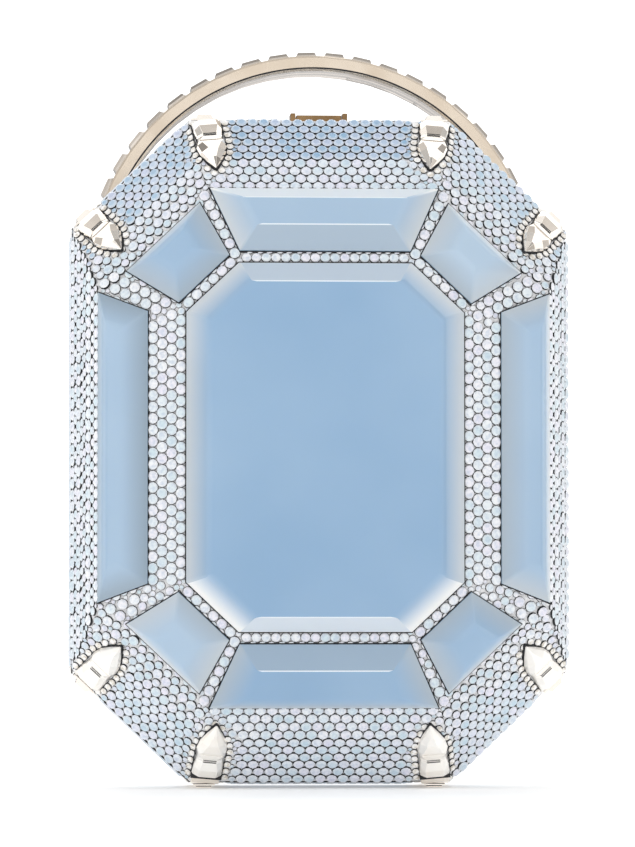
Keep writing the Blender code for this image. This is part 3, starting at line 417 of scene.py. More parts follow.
crystalLayout = {
    "pitch": 2.87 * mm,
    "width": 3.05 * mm,
    "rowSpacing": 2.49 * mm,
    "channelPitch": 2.46 * mm,  # between the end stones and the centre stone
    "channelWidth": 2.75 * mm,
    "ringRows": {"side": (4, 9.6 * mm), "end": (1, 2.6 * mm), "corner": (1, 2.6 * mm)},  # rows and width
    "lastRowHidden": {"side": 0.5, "end": 0.2, "corner": 0.2},  # share of a row that the stones' edges cover
    "edgeShare": 0.3,  # of a crystal's width, inside the ends of a row
    "edgingWidth": 2.05 * mm,
    "edgingPitch": 1.85 * mm,
    "edgingGap": -0.05 * mm,
    "edgingInside": 0.4,  # of a crystal's width, from a face's upper edge
    "channelShare": 0.97,  # of the usual pitch, between two stones of the ring
    "fillWidths": [2.45 * mm, 2.05 * mm, 1.65 * mm, 1.25 * mm],
    "fillStep": 0.38 * mm,
    "closest": 0.89,  # shares of the two crystals' mean width
    "edgingClosest": 0.93,
    "channelClosest": 0.88,
    "fillClosest": 0.86,
    "underStone": 0.25,  # share of its width by which a crystal's middle may lie under a stone's edge
}
# painted reflected light and shade: each outer face's crystals are bluer or paler by the way the face looks,
# bluest on top and palest at the sides
outerPaintedLight = {"top": 0.82, "topLeft": 0.68, "topRight": 0.5, "left": 0.22, "right": 0.22,
              "bottom": 0.3, "bottomLeft": 0.36, "bottomRight": 0.36}
boxShade, backShade, channelShade, ringShade = 0.55, 0.5, 0.05, 0.06
ridgeReach = 0.12 * mm  # two planes of the lid this close to each other meet at a ridge


class Field:  # crystals laid so far, found again by their place
    def __init__(self):
        self.crystals = []
        self.cells = {}

    def cell(self, point):
        size = crystalLayout["pitch"] * 1.2
        return tuple(int(math.floor(value / size)) for value in point)

    def hasRoom(self, point, width, closest):
        home = self.cell(point)
        near = (-1, 0, 1)
        for dx, dy, dz in ((dx, dy, dz) for dx in near for dy in near for dz in near):
            for other in self.cells.get((home[0] + dx, home[1] + dy, home[2] + dz), ()):
                if (other.point - point).length < closest * (other.width + width) / 2:
                    return False
        return True

    def add(self, point, normal, width, shade, closest):
        if self.hasRoom(point, width, closest):
            crystal = Crystal(point, normal, width, shade)
            self.crystals.append(crystal)
            self.cells.setdefault(self.cell(point), []).append(crystal)

    def addOn(self, face, flat, width, shade, closest):
        self.add(face.axes @ Vector((flat.x, flat.y, 0)), face.axes.col[2].to_3d(), width, shade, closest)


def shadeOf(face):
    if face.half == "box":
        return boxShade
    # the outer band takes its way's painted light, the next band a paler share of it
    return [outerPaintedLight[face.way], 0.3 * outerPaintedLight[face.way] + 0.05, ringShade][face.band]


def isClear(face, shapes, flat, width):
    if any(clearance(flat, shape) < 0.5 * width for isClaw, shape in shapes):
        return False
    if face.half == "box":
        return True
    point = face.axes @ Vector((flat.x, flat.y, 0))
    return all(clearance(Vector((point.x, point.z)), plan) > -crystalLayout["underStone"] * width
               for plan in stonePlans)


def layEdging(field, face, shapes):  # small clear crystals in a row round each claw
    width, step = crystalLayout["edgingWidth"], crystalLayout["edgingPitch"] / 4
    away, inside = width / 2 + crystalLayout["edgingGap"], crystalLayout["edgingInside"] * width
    for shape in [shape for isClaw, shape in shapes if isClaw]:
        loop = []
        for a, b in edgesOf(shape):
            edge = b - a
            if edge.length >= 1e-6:
                out = Vector((edge.y, -edge.x)).normalized() * away
                loop += [a + out, b + out]
        carried = 0.0
        for a, b in edgesOf(loop):
            edge = b - a
            while carried < edge.length:
                flat = a + edge.normalized() * carried
                left, right = sideLimits(face, flat.y)
                if inside < flat.y < face.length and left < flat.x < right:
                    field.addOn(face, flat, width, 0.0, crystalLayout["edgingClosest"])
                carried += step
            carried -= edge.length


def layRow(field, face, shapes, down, shift, pitch, width, shade):
    left, right = sideLimits(face, down)
    inside = crystalLayout["edgeShare"] * width
    first = math.ceil((left + inside) / pitch - shift)
    last = math.floor((right - inside) / pitch - shift)
    for at in range(first, last + 1):
        flat = Vector(((at + shift) * pitch, down))
        if isClear(face, shapes, flat, width):
            field.addOn(face, flat, width, shade, crystalLayout["closest"])


def rowsDown(face):
    if face.band == 2:  # the ring: rows only along the centre stone
        count, width = crystalLayout["ringRows"][face.kind]
        return [face.length - width * (at + 0.5) / count for at in range(count)]
    cover = crystalLayout["lastRowHidden"][face.kind] if face.half == "lid" and face.band == 1 else 0.0
    count = max(1, round(face.length / crystalLayout["rowSpacing"] + cover))
    spacing = face.length / (count - cover)
    return [spacing * (at + 0.5) for at in range(count)]


def layRows(field, face, shapes):
    inChannel = face.band == 2 and face.kind == "end"
    pitch = crystalLayout["channelPitch" if inChannel else "pitch"]
    width = crystalLayout["channelWidth" if inChannel else "width"]
    for index, down in enumerate(rowsDown(face)):
        layRow(field, face, shapes, down, 0.5 * (index % 2), pitch, width, shadeOf(face))


def fillGaps(field, face, shapes):
    closest = crystalLayout["fillClosest"]
    for width in crystalLayout["fillWidths"]:
        down = width / 2
        while down < face.length:
            left, right = sideLimits(face, down)
            across = left + width / 4
            while across < right:
                flat = Vector((across, down))
                point = face.axes @ Vector((across, down, 0))
                if field.hasRoom(point, width, closest) and isClear(face, shapes, flat, width):
                    field.addOn(face, flat, width, shadeOf(face), closest)
                across += crystalLayout["fillStep"]
            down += crystalLayout["fillStep"]


def surfaceAt(x, z):  # the lid's metal is the lowest of its faces' planes
    found = []
    for face in lidFaces:
        normal = face.axes.col[2].to_3d()
        origin = face.axes.translation
        y = origin.y - (normal.x * (x - origin.x) + normal.z * (z - origin.z)) / normal.y
        found.append((y, normal))
    found.append((partingY - lidOutlines[-1].depth, Vector((0, -1, 0))))
    top = max(y for y, normal in found)
    near = [normal for y, normal in found if y > top - ridgeReach]
    return Vector((x, top, z)), sum(near, Vector()).normalized()


def planCorners(nodeName):
    points = planPoints(nodeName)
    return sharpCorners(hullOf(points)[0], 0.05), sum(points, Vector((0, 0))) / len(points)


def nearestTwo(points, place):
    return sorted(points, key=lambda point: (point - place).length)[:2]


def layChannel(field, first, second, rows):  # crystals between two neighbouring stones of the ring
    firstCorners, firstMiddle = planCorners(first + "_stone")
    secondCorners, secondMiddle = planCorners(second + "_stone")
    hub = Vector((0, centreZ))
    near = nearestTwo(nearestTwo(firstCorners, secondMiddle), hub)
    far = nearestTwo(nearestTwo(secondCorners, firstMiddle), hub)
    start, end = (near[0] + far[0]) / 2, (near[1] + far[1]) / 2
    run = (end - start).normalized()
    side = Vector((-run.y, run.x))
    pitch = crystalLayout["pitch"] * crystalLayout["channelShare"]
    length = (end - start).length + pitch
    count = round(length / pitch)
    for row in range(rows):
        shift = (row - (rows - 1) / 2) * crystalLayout["rowSpacing"]
        for at in range(count):
            along = -pitch / 2 + length * (at + 0.5 + 0.5 * row) / count
            place = start + run * along + side * shift
            point, normal = surfaceAt(place.x, place.y)
            field.add(point, normal, crystalLayout["width"], channelShade, crystalLayout["channelClosest"])


def layHalf(faces, rowOrder, channels=()):
    field = Field()
    for face in faces:
        layEdging(field, face, shapesOn(face))
    edging = len(field.crystals)
    for first, second, rows in channels:
        layChannel(field, first, second, rows)
    for face in rowOrder:
        layRows(field, face, shapesOn(face))
    for face in faces:
        fillGaps(field, face, shapesOn(face))
    return field.crystals[:edging], field.crystals[edging:]


def layBackPanel():
    field = Field()
    outline = boxOutlines[-1]
    endX, sideZ = cornerOf(outline)
    cut = outline.end - sideZ
    spans = [((endX, outline.side), cut, 0.0), ((outline.side, outline.side), 2 * sideZ, cut),
             ((outline.side, endX), cut, cut + 2 * sideZ)]  # half widths at both ends, length and start
    faces = []
    for halves, length, start in spans:
        axes = axesOf(Vector((-1, 0, 0)), Vector((0, 0, -1)), Vector((0, 1, 0)),
                      (0, partingY + outline.depth, centreZ + outline.end - start))
        faces.append(Face("box", "back", 3, "panel", axes, length, (-halves[0], -halves[1]), halves))
    panelShapes = [shapesOn(face) for face in faces]
    rows = round(2 * outline.end / crystalLayout["rowSpacing"])
    for index in range(rows):
        down = 2 * outline.end / rows * (index + 0.5)
        at = next(at for at, (halves, length, start) in enumerate(spans) if down <= start + length)
        layRow(field, faces[at], panelShapes[at], down - spans[at][2], 0.5 * (index % 2),
               crystalLayout["pitch"], crystalLayout["width"], backShade)
    for face, shapes in zip(faces, panelShapes):
        fillGaps(field, face, shapes)
    return field.crystals


ringPairs = [("top", "top_left", 1), ("top", "top_right", 1), ("bottom", "bottom_left", 1),
             ("bottom", "bottom_right", 1), ("left", "top_left", 2), ("left", "bottom_left", 2),
             ("right", "top_right", 2), ("right", "bottom_right", 2)]
lidEdging, lidCrystals = layHalf(lidFaces, sorted(lidFaces, key=lambda face: -face.band), ringPairs)
girthEdging, girthCrystals = layHalf(boxFaces, boxFaces)
backCrystals = layBackPanel()
print("crystals laid:", len(lidEdging + lidCrystals), len(girthEdging + girthCrystals), len(backCrystals))


crystalCut = {
    "sides": 10,
    "rings": [(0.5, -0.03, 0), (0.455, 0.165, 0), (0.39, 0.245, 0), (0.27, 0.3, 0.5)],  # radius, height, turn
    # the paler crown bands are a painted highlight
    "crownShares": [0.0, 1.0, 0.45, 0.0],  # how pale each band of facets is, up to the table
    "widthVariation": 0.02,
    "shadeVariation": 0.2,
}


def makeCrystalShape():
    bm = bmesh.new()
    wall = bm.faces.layers.bool.new("isWall")
    crown = bm.faces.layers.float.new("crown")
    sides = crystalCut["sides"]
    rings = []
    for radius, height, turn in crystalCut["rings"]:
        angles = [2 * math.pi * (at + turn) / sides for at in range(sides)]
        rings.append([bm.verts.new((radius * math.cos(a), radius * math.sin(a), height)) for a in angles])
    for band, (lower, upper) in enumerate(zip(rings, rings[1:])):
        for at in range(sides):
            after = (at + 1) % sides
            corners = [(lower[at], lower[after], upper[after], upper[at])]
            if band == 2:
                corners = [(lower[at], lower[after], upper[at]), (lower[after], upper[after], upper[at])]
            for corner in corners:
                facet = bm.faces.new(corner)
                facet[wall] = band == 0
                facet[crown] = crystalCut["crownShares"][band]
    bm.faces.new(rings[-1])
    return addObject("crystalShape", meshOf("crystalShape", bm))


def makeSettingTree():
    tree = bpy.data.node_groups.new("crystalSetting", "GeometryNodeTree")
    sockets = [("Places", "Geometry"), ("Crystal", "Object"), ("Width Variation", "Float"),
               ("Shade Variation", "Float"), ("Seed", "Int"), ("Glass", "Material"), ("Wall", "Material")]
    for name, kind in sockets:
        tree.interface.new_socket(name, in_out="INPUT", socket_type="NodeSocket" + kind)
    tree.interface.new_socket("Crystals", in_out="OUTPUT", socket_type="NodeSocketGeometry")
    given = addNode(tree, "NodeGroupInput").outputs
    seed = {8: given["Seed"]}
    told = {}
    for name, kind in (("wayOut", "FLOAT_VECTOR"), ("width", "FLOAT"), ("shade", "FLOAT"),
                       ("isWall", "BOOLEAN")):
        read = addNode(tree, "GeometryNodeInputNamedAttribute", {"Name": name}, data_type=kind)
        told[name] = read.outputs["Attribute"]
    stand = addNode(tree, "FunctionNodeAlignRotationToVector", None, {"Vector": told["wayOut"]}, axis="Z")
    angle = addNode(tree, "FunctionNodeRandomValue", {2: 0.0, 3: 2 * math.pi}, seed, data_type="FLOAT")
    spin = addNode(tree, "FunctionNodeAxisAngleToRotation", {"Axis": (0, 0, 1)}, {"Angle": angle.outputs[1]})
    turn = addNode(tree, "FunctionNodeRotateRotation", None,
                   {"Rotation": stand, "Rotate By": spin},
                   rotation_space="LOCAL")
    oneLess = addNode(tree, "ShaderNodeMath", {0: 1.0}, {1: given["Width Variation"]}, operation="SUBTRACT")
    grow = addNode(tree, "FunctionNodeRandomValue", {3: 1.0}, {2: oneLess, **seed},
                   data_type="FLOAT")
    size = addNode(tree, "ShaderNodeMath", None, {0: told["width"], 1: grow.outputs[1]}, operation="MULTIPLY")
    lower = addNode(tree, "ShaderNodeMath", {0: 0.0}, {1: given["Shade Variation"]}, operation="SUBTRACT")
    drift = addNode(tree, "FunctionNodeRandomValue", None,
                    {2: lower, 3: given["Shade Variation"], **seed}, data_type="FLOAT")
    tone = addNode(tree, "ShaderNodeMath", None, {0: told["shade"], 1: drift.outputs[1]}, operation="ADD")
    lean = addNode(tree, "FunctionNodeRandomValue", {2: 0.0, 3: 1.0, 7: 1}, seed, data_type="FLOAT")
    stored = given["Places"]
    for name, value in (("shade", tone), ("tint", lean.outputs[1])):
        stored = addNode(tree, "GeometryNodeStoreNamedAttribute", {"Name": name},
                         {"Geometry": stored, "Value": value}, data_type="FLOAT", domain="POINT")
    shape = addNode(tree, "GeometryNodeObjectInfo", {"As Instance": True}, {"Object": given["Crystal"]})
    placed = addNode(tree, "GeometryNodeInstanceOnPoints", None,
                     {"Points": stored, "Instance": shape.outputs["Geometry"],
                      "Rotation": turn, "Scale": size})
    real = addNode(tree, "GeometryNodeRealizeInstances", None, {"Geometry": placed})
    glass = addNode(tree, "GeometryNodeSetMaterial", None,
                    {"Geometry": real, "Material": given["Glass"]})
    walled = addNode(tree, "GeometryNodeSetMaterial", None,
                     {"Geometry": glass, "Selection": told["isWall"],
                      "Material": given["Wall"]})
    addNode(tree, "NodeGroupOutput", None, {"Crystals": walled})
    return tree


def setCrystals(name, crystals, body, glass, seed, *standsFor):
    mesh = bpy.data.meshes.new(name + "Places")
    mesh.from_pydata([crystal.point for crystal in crystals], [], [])
    wayOut = mesh.attributes.new("wayOut", "FLOAT_VECTOR", "POINT")
    wayOut.data.foreach_set("vector", [value for crystal in crystals for value in crystal.normal])
    for attribute in ("width", "shade"):
        storeValues(mesh, attribute, "POINT", [getattr(crystal, attribute) for crystal in crystals])
    places = addObject(name + "Places", mesh)
    setting = places.modifiers.new("crystalSetting", "NODES")
    setting.node_group = settingTree
    inputs = {"Crystal": crystalShape, "Width Variation": crystalCut["widthVariation"],
              "Shade Variation": crystalCut["shadeVariation"], "Seed": seed, "Glass": finishes[glass],
              "Wall": finishes["foilEdge"]}
    for item in settingTree.interface.items_tree:
        if item.in_out == "INPUT" and item.name in inputs:
            setting[item.identifier] = inputs[item.name]
    real = realMesh(name, places)
    piece = addPiece(name, real, body)
    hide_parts(*standsFor)
    print(name, "set:", len(crystals), "crystals,", len(real.polygons), "faces")


crystalShape = makeCrystalShape()
settingTree = makeSettingTree()
setCrystals("lid_claw_edging", lidEdging, "lid", "clearCrystal", 11)
setCrystals("lid_crystals", lidCrystals, "lid", "opalCrystal", 12, "lid_crystal_rows")
setCrystals("girth_claw_edging", girthEdging, "box", "clearCrystal", 13)
setCrystals("girth_crystals", girthCrystals, "box", "opalCrystal", 14, "box_crystal_rows")
setCrystals("back_crystals", backCrystals, "box", "opalCrystal", 15, "box_crystal_rows")
bpy.data.objects.remove(crystalShape)


softEdges = {
    "softRidge": 1.25 * mm,  # ridges that run into each other
    "crispRidge": 0.16 * mm,  # level ridges, which catch the light as a line
    "mitreRidge": 0.45 * mm,
    "girdle": 0.1 * mm,
    "foot": 0.05 * mm,
    "claw": 0.07 * mm,
    "handle": 0.07 * mm,
    "trim": 0.12 * mm,
}
bodyOf = {name: body for body, names in frame["record"]["behaviour"]["bodies"].items() for name in names}


def mergedCopy(nodeName):
    bm = bmesh.new()
    bm.from_mesh(frame["nodes"][nodeName].data)
    for face in bm.faces:
        face.material_index = 0
    bmesh.ops.remove_doubles(bm, verts=bm.verts, dist=1e-6)
    bmesh.ops.dissolve_limit(bm, angle_limit=math.radians(1.0), verts=bm.verts, edges=bm.edges)
    return bm


def bevelled(name, bm, width, segments, limit="ANGLE"):
    source = addObject(name + "Source", meshOf(name + "Source", bm))
    bevel = source.modifiers.new("edges", "BEVEL")
    bevel.width = width
    bevel.segments = segments
    bevel.limit_method = limit
    bevel.angle_limit = math.radians(20)
    bevel.use_clamp_overlap = True
    bevel.harden_normals = True
    return realMesh(name, source)


def standIn(nodeName, real, *named):  # shows a finished mesh in place of the node
    for finish in named or [slotFinish[nodeSlot[nodeName]]]:
        real.materials.append(finishes[finish])
    piece = addPiece(nodeName + "_finished", real, bodyOf[nodeName])
    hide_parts(nodeName)
    return piece


def softenedCopy(nodeName):
    standIn(nodeName, bevelled(nodeName + "Finished", mergedCopy(nodeName), softEdges["trim"], 2))


def segmentDistance(point, ends):
    start, run = ends[0], ends[1] - ends[0]
    along = max(0.0, min(1.0, (point - start).dot(run) / run.length_squared))
    return (point - start - run * along).length


# painted light and shade on the stones' thin bevels, by the way they face; the inward ones stay deep where the
# resin is thicker
paintedStoneLight = {  # 0 pale to 1 deep, for the bevels that face away from the bag's middle
    "top_stone": 0.0, "bottom_stone": 0.6, "left_stone": 0.8, "right_stone": 0.35, "top_left_stone": 0.6,
    "top_right_stone": 0.4, "bottom_left_stone": 0.4, "bottom_right_stone": 0.55,
    "centreTop": 0.45, "centreBottom": 0.0, "centreSide": 0.5, "facingIn": 0.95, "topFacingIn": 1.27,
}
stoneMilk = {"top_stone": 0.4, "left_stone": 0.4, "right_stone": 0.35, "top_right_stone": 0.65,
             "bottom_left_stone": 0.5, "top_left_stone": 0.15, "bottom_right_stone": 0.1}
litRidges = {"top_stone": (-1, 1), "centre_stone": (-1, 1), "bottom_stone": (1,)}  # -1 the lower, 1 the upper
ridgeShift = {"top_stone": (1, -1.0 * mm)}  # which ridge, and how far it moves up
stoneShape = {
    "topSlack": 0.05 * mm,  # how far below the top a point still counts as raised
    "level": 0.95,  # least share of a lit ridge's run that goes along X
    "steep": 0.35,  # lean at which a bevel counts as facing fully in or out
    "bevelDrop": 0.5,  # least drop in thickness across a flat bevel
    "evenThickness": 0.6,  # of the flat bevels beside a lit ridge
    "litLength": 60 * mm,  # with the ridge's width, the largest facet that belongs to a lit ridge
}


def bevelTone(nodeName, polygon, middle):
    if nodeName == "centre_stone":
        if abs(polygon.normal.z) > abs(polygon.normal.x):
            return paintedStoneLight["centreTop" if polygon.center.z > middle.z else "centreBottom"]
        return paintedStoneLight["centreSide"]
    outward = Vector((middle.x, 0, middle.z - centreZ)).normalized()
    share = max(-1.0, min(1.0, polygon.normal.dot(outward) / stoneShape["steep"]))
    facingIn = paintedStoneLight["topFacingIn" if nodeName == "top_stone" else "facingIn"]
    return paintedStoneLight[nodeName] * (1 + share) / 2 + facingIn * (1 - share) / 2


def finishStone(nodeName):
    corners, middle = planCorners(nodeName)
    centre, normal = surfaceAt(middle.x, middle.y)
    bm = mergedCopy(nodeName)
    weight = bm.edges.layers.float.new("bevel_weight_edge")
    top = max((vertex.co - centre).dot(normal) for vertex in bm.verts) - stoneShape["topSlack"]
    raised = [vertex for vertex in bm.verts if (vertex.co - centre).dot(normal) > top]
    middleZ = sum(vertex.co.z for vertex in raised) / len(raised)
    if nodeName in ridgeShift:
        side, shift = ridgeShift[nodeName]
        slope = Vector((0, -normal.z, normal.y)).normalized()
        slope *= math.copysign(1, slope.z)
        for vertex in raised:
            if (vertex.co.z - middleZ) * side > 0:
                vertex.co += slope * shift
    ridgeLines = []
    crisp = softEdges["crispRidge"]
    for edge in bm.edges:
        high = [vertex in raised for vertex in edge.verts]
        run = (edge.verts[1].co - edge.verts[0].co).normalized()
        side = 1 if edge.verts[0].co.z > middleZ else -1
        width = softEdges["softRidge"]
        if all(high) and abs(run.x) > stoneShape["level"] and side in litRidges.get(nodeName, ()):
            ridgeLines.append([vertex.co.copy() for vertex in edge.verts])
            width = crisp
        elif not all(high):
            width = softEdges["mitreRidge" if any(high) else "girdle"]
        edge[weight] = width / softEdges["softRidge"]
    mesh = bevelled(nodeName + "Finished", bm, softEdges["softRidge"], 4, "WEIGHT")
    heights = [(vertex.co - centre).dot(normal) for vertex in mesh.vertices]
    low, high = min(heights), max(heights)
    thickness = [(value - low) / (high - low) for value in heights]
    onRidge = [any(segmentDistance(vertex.co, ends) < 2 * crisp for ends in ridgeLines)
               for vertex in mesh.vertices]
    cornerValues = []
    for polygon in mesh.polygons:
        own = [thickness[at] for at in polygon.vertices]
        isFlat = (sum(onRidge[at] for at in polygon.vertices) >= 2
                  and max(own) - min(own) > stoneShape["bevelDrop"])
        cornerValues += [stoneShape["evenThickness"]] * len(own) if isFlat else own
    # painted highlight: the narrow faces along the lit ridges turn pale
    lit = [float(any(segmentDistance(polygon.center, ends) < 0.8 * crisp for ends in ridgeLines)
                 and polygon.area < stoneShape["litLength"] * crisp) for polygon in mesh.polygons]
    tones = [bevelTone(nodeName, polygon, centre) for polygon in mesh.polygons]
    storeValues(mesh, "thickness", "CORNER", cornerValues)
    storeValues(mesh, "milk", "FACE", [stoneMilk.get(nodeName, 0.0)] * len(mesh.polygons))
    storeValues(mesh, "bevelTone", "FACE", tones)
    storeValues(mesh, "ridge", "FACE", lit)
    standIn(nodeName, mesh)


for nodeName in stoneNodes:
    finishStone(nodeName)
print("stones finished:", len(stoneNodes))


# painted shadow strips round the stones and claws
shadowStrip = {
    "depth": 0.4 * mm,
    "lap": 0.05 * mm,  # how far a strip reaches under the stone or claw
    "shortest": 0.15 * mm,
    "stone": (0.8 * mm, 0.24 * mm),  # height and thickness
    "claw": (0.45 * mm, 0.13 * mm),
}


def tidyShape(shape):  # without doubled or straight corners
    apart = [here for before, here in zip(shape[-1:] + shape[:-1], shape)
             if (here - before).length > shadowStrip["shortest"]]
    return sharpCorners(apart, 0.03)


def grown(shape, distance):
    lines = []
    for a, b in edgesOf(shape):
        run = (b - a).normalized()
        lines.append((a + Vector((run.y, -run.x)) * distance, run))
    return [before + runBefore * ((start - before).cross(run) / runBefore.cross(run))
            for (before, runBefore), (start, run) in zip(lines[-1:] + lines[:-1], lines)]


def joinRings(bm, rings, isLoop=False):
    facets = []
    for near, far in zip(rings, rings[1:] + rings[:1] if isLoop else rings[1:]):
        for at in range(len(near)):
            after = (at + 1) % len(near)
            facets.append(bm.faces.new((near[at], near[after], far[after], far[at])))
    if not isLoop:
        bm.faces.new(rings[0])
        bm.faces.new(rings[-1])
    return facets


def addExtra(name, bm, body, slot, *named):
    mesh = meshOf(name, bm)
    for finish in named:
        mesh.materials.append(finishes[finish])
    addPiece(name, mesh, body)


def addShadowStrips(name, places, kind):  # a painted shadow: a dark strip round each outline, where the piece meets the crystals
    low, (height, thickness) = -shadowStrip["depth"], shadowStrip[kind]
    bm = bmesh.new()
    for axes, shape in places:
        inner, outer = grown(shape, -shadowStrip["lap"]), grown(shape, thickness)
        rings = [[bm.verts.new(axes @ Vector((point.x, point.y, level))) for point in points]
                 for points, level in ((inner, low), (inner, height), (outer, height), (outer, low))]
        joinRings(bm, rings, isLoop=True)
    bmesh.ops.recalc_face_normals(bm, faces=bm.faces)
    addExtra(name, bm, "lid", "pave_metal", "blackenedSeat")


def wayOf(nodeName):  # top_left_stone lies on the way topLeft
    words = nodeName.removesuffix("_stone").split("_")
    return words[0] + "".join(word.capitalize() for word in words[1:])


stoneAxes = {face.way: face.axes for face in lidFaces if face.band == 2}
stoneAxes["centre"] = axesOf(Vector((1, 0, 0)), Vector((0, 0, 1)), Vector((0, -1, 0)),
                             (0, partingY - lidOutlines[-1].depth, centreZ))
stonePlaces = [(name, stoneAxes[wayOf(name)]) for name in stoneNodes]
addShadowStrips("stone_seats", [(axes, tidyShape(footprint(name, axes))) for name, axes in stonePlaces], "stone")


clawShape = {
    "places": {  # the face, which end of its edge, how far in from that end, and which way it leans
        "top_left": ("top", -1, 3.7, 1), "top_right": ("top", 1, 3.7, -1),
        "bottom_left": ("bottom", 1, 3.7, -1), "bottom_right": ("bottom", -1, 3.7, 1),
        "right_upper": ("topRight", 1, 4.5, 0), "left_upper": ("topLeft", -1, 4.5, 0),
        "right_lower": ("bottomRight", -1, 4.5, 0), "left_lower": ("bottomLeft", 1, 4.5, 0),
    },
    "lean": math.radians(7.0),
    "start": 1.7 * mm,
    "bottomStart": 3.1 * mm,
    "seatGap": 0.3 * mm,
    "sections": [  # along, half widths of foot, shoulder and top, heights of shoulder and top, in millimetres
        (0.2, 3.75, 3.50, 2.0, 0.6, 1.5),
        (0.5, 3.90, 3.60, 2.1, 0.9, 1.9),
        (3.3, 3.80, 3.45, 2.3, 1.0, 2.5),
        (5.7, 3.55, 3.15, 1.7, 0.9, 1.8),
        (5.85, 3.55, 3.15, 1.7, 0.9, 1.6),
        (6.35, 3.50, 3.10, 1.7, 0.9, 1.75),
        (6.5, 3.50, 3.10, 1.7, 0.9, 1.6),
        (8.3, 3.65, 3.25, 2.9, 0.9, 1.9),
        (8.5, 3.60, 3.20, 2.9, 0.8, 1.5),
        (8.65, 3.80, 3.45, 3.1, 1.0, 1.9),
        (9.5, 3.95, 3.55, 2.4, 1.1, 2.15),
        (12.2, 3.40, 2.90, 1.3, 1.1, 2.55),
        (14.9, 1.95, 1.50, 0.35, 0.9, 1.9),
        (17.5, 0.18, 0.12, 0.05, 0.3, 0.6),
    ],
    "outlineRows": [1, 10, 11, 12, 13],
    "grooves": [(3, 2), (5, 2)],  # painted shade in the grooves: section and side of it, counted round from the right foot
    "satinFacets": [(2, 2), (7, 2), (10, 1), (10, 3), (12, 1)],  # painted shade on these facets of the upper claws
    "shoeBottom": -0.2 * mm,
    "shoe": [  # under the bottom claws: start, end, half width, height and whether it is painted dark as shadow
        (2.1, 3.35, 3.9, 1.3, 1),
        (0.2, 2.1, 3.5, 0.9, 0),
    ],
}


def addBlock(bm, axes, low, high, finish):
    made = bmesh.ops.create_cube(bm, size=1.0)["verts"]
    size = Vector(high) - Vector(low)
    middle = (Vector(high) + Vector(low)) / 2
    for vertex in made:
        vertex.co = axes @ Vector([at * reach + centre for at, reach, centre in zip(vertex.co, size, middle)])
    for face in {face for vertex in made for face in vertex.link_faces}:
        face.material_index = finish


def makeClaw(name):
    way, end, inset, lean = clawShape["places"][name]
    face = next(face for face in lidFaces if face.band == 0 and face.way == way)
    offset = (face.left[0], face.right[0])[end > 0] - end * inset * mm
    turn = Matrix.Rotation(-lean * clawShape["lean"], 4, "Z")
    axes = face.axes @ Matrix.Translation((offset, 0, 0)) @ turn
    start = clawShape["bottomStart" if way == "bottom" else "start"]
    isLower = "bottom_" in name or "_lower" in name
    bm = bmesh.new()
    rings = []
    for along, foot, shoulder, top, shoulderHeight, topHeight in clawShape["sections"]:
        half = [(foot, 0), (shoulder, shoulderHeight), (top, topHeight)]
        points = half + [(-x, z) for x, z in reversed(half)]
        rings.append([bm.verts.new(axes @ Vector((x * mm, start + along * mm, clawShape["seatGap"] + z * mm)))
                      for x, z in points])
    facets = joinRings(bm, rings)
    for finish, places in ((1, [] if isLower else clawShape["satinFacets"]), (2, clawShape["grooves"])):
        for section, side in places:
            facets[section * len(points) + side].material_index = finish
    bmesh.ops.recalc_face_normals(bm, faces=bm.faces)
    nodeName = "front_claw_" + name
    standIn(nodeName, bevelled(nodeName + "Finished", bm, softEdges["claw"], 1),
            "brushedPlate" if isLower else "champagnePlate", "duskPlate", "blackenedSeat")
    rows = [clawShape["sections"][row] for row in clawShape["outlineRows"]]
    right = [Vector((row[1] * mm, start + row[0] * mm)) for row in rows]
    return axes, right + [Vector((-point.x, point.y)) for point in reversed(right)]


clawPlaces = [makeClaw(name) for name in clawShape["places"]]
addShadowStrips("claw_seats", clawPlaces, "claw")
shoes = bmesh.new()
for name, (axes, outline) in zip(clawShape["places"], clawPlaces):
    if name.startswith("bottom_"):
        for start, end, half, thickness, finish in clawShape["shoe"]:
            addBlock(shoes, axes, (-half * mm, start * mm, clawShape["shoeBottom"]),
                     (half * mm, end * mm, thickness * mm), finish)
addExtra("claw_shoes", shoes, "lid", "champagne_metal", "champagnePlate", "blackenedSeat")


footShape = {  # steps: share of the foot's width, and of its visible height where the step starts
    "steps": [(0.58, 0.0), (0.52, 0.24), (0.8, 0.36), (0.72, 0.64), (1.0, 0.76)],
    "visible": 1.5 * mm,  # above this the foot is hidden behind the rim
    "shorter": 0.3 * mm,
}


def finishFoot(nodeName):
    low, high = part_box(nodeName)
    middle, widest = (low.x + high.x) / 2, (high.x - low.x) / 2
    bottoms = [low.z + footShape["visible"] * level for share, level in footShape["steps"]]
    bm = bmesh.new()
    for at, (share, level) in enumerate(footShape["steps"]):
        half, shorter = widest * share, footShape["shorter"] * (1 - share)
        top = (bottoms + [high.z])[at + 1]
        # the narrower steps take the dark finish: painted shade under the wider steps
        addBlock(bm, Matrix.Identity(4), (middle - half, low.y + shorter, bottoms[at]),
                 (middle + half, high.y - shorter, top), at % 2)
    standIn(nodeName, bevelled(nodeName + "Finished", bm, softEdges["foot"], 1),
            slotFinish[nodeSlot[nodeName]], "blackenedSeat")


for nodeName in clawNodes:
    if nodeName.startswith("foot_"):
        finishFoot(nodeName)
    elif not nodeName.startswith("front_claw_"):
        softenedCopy(nodeName)
print("claws finished:", len(clawNodes))


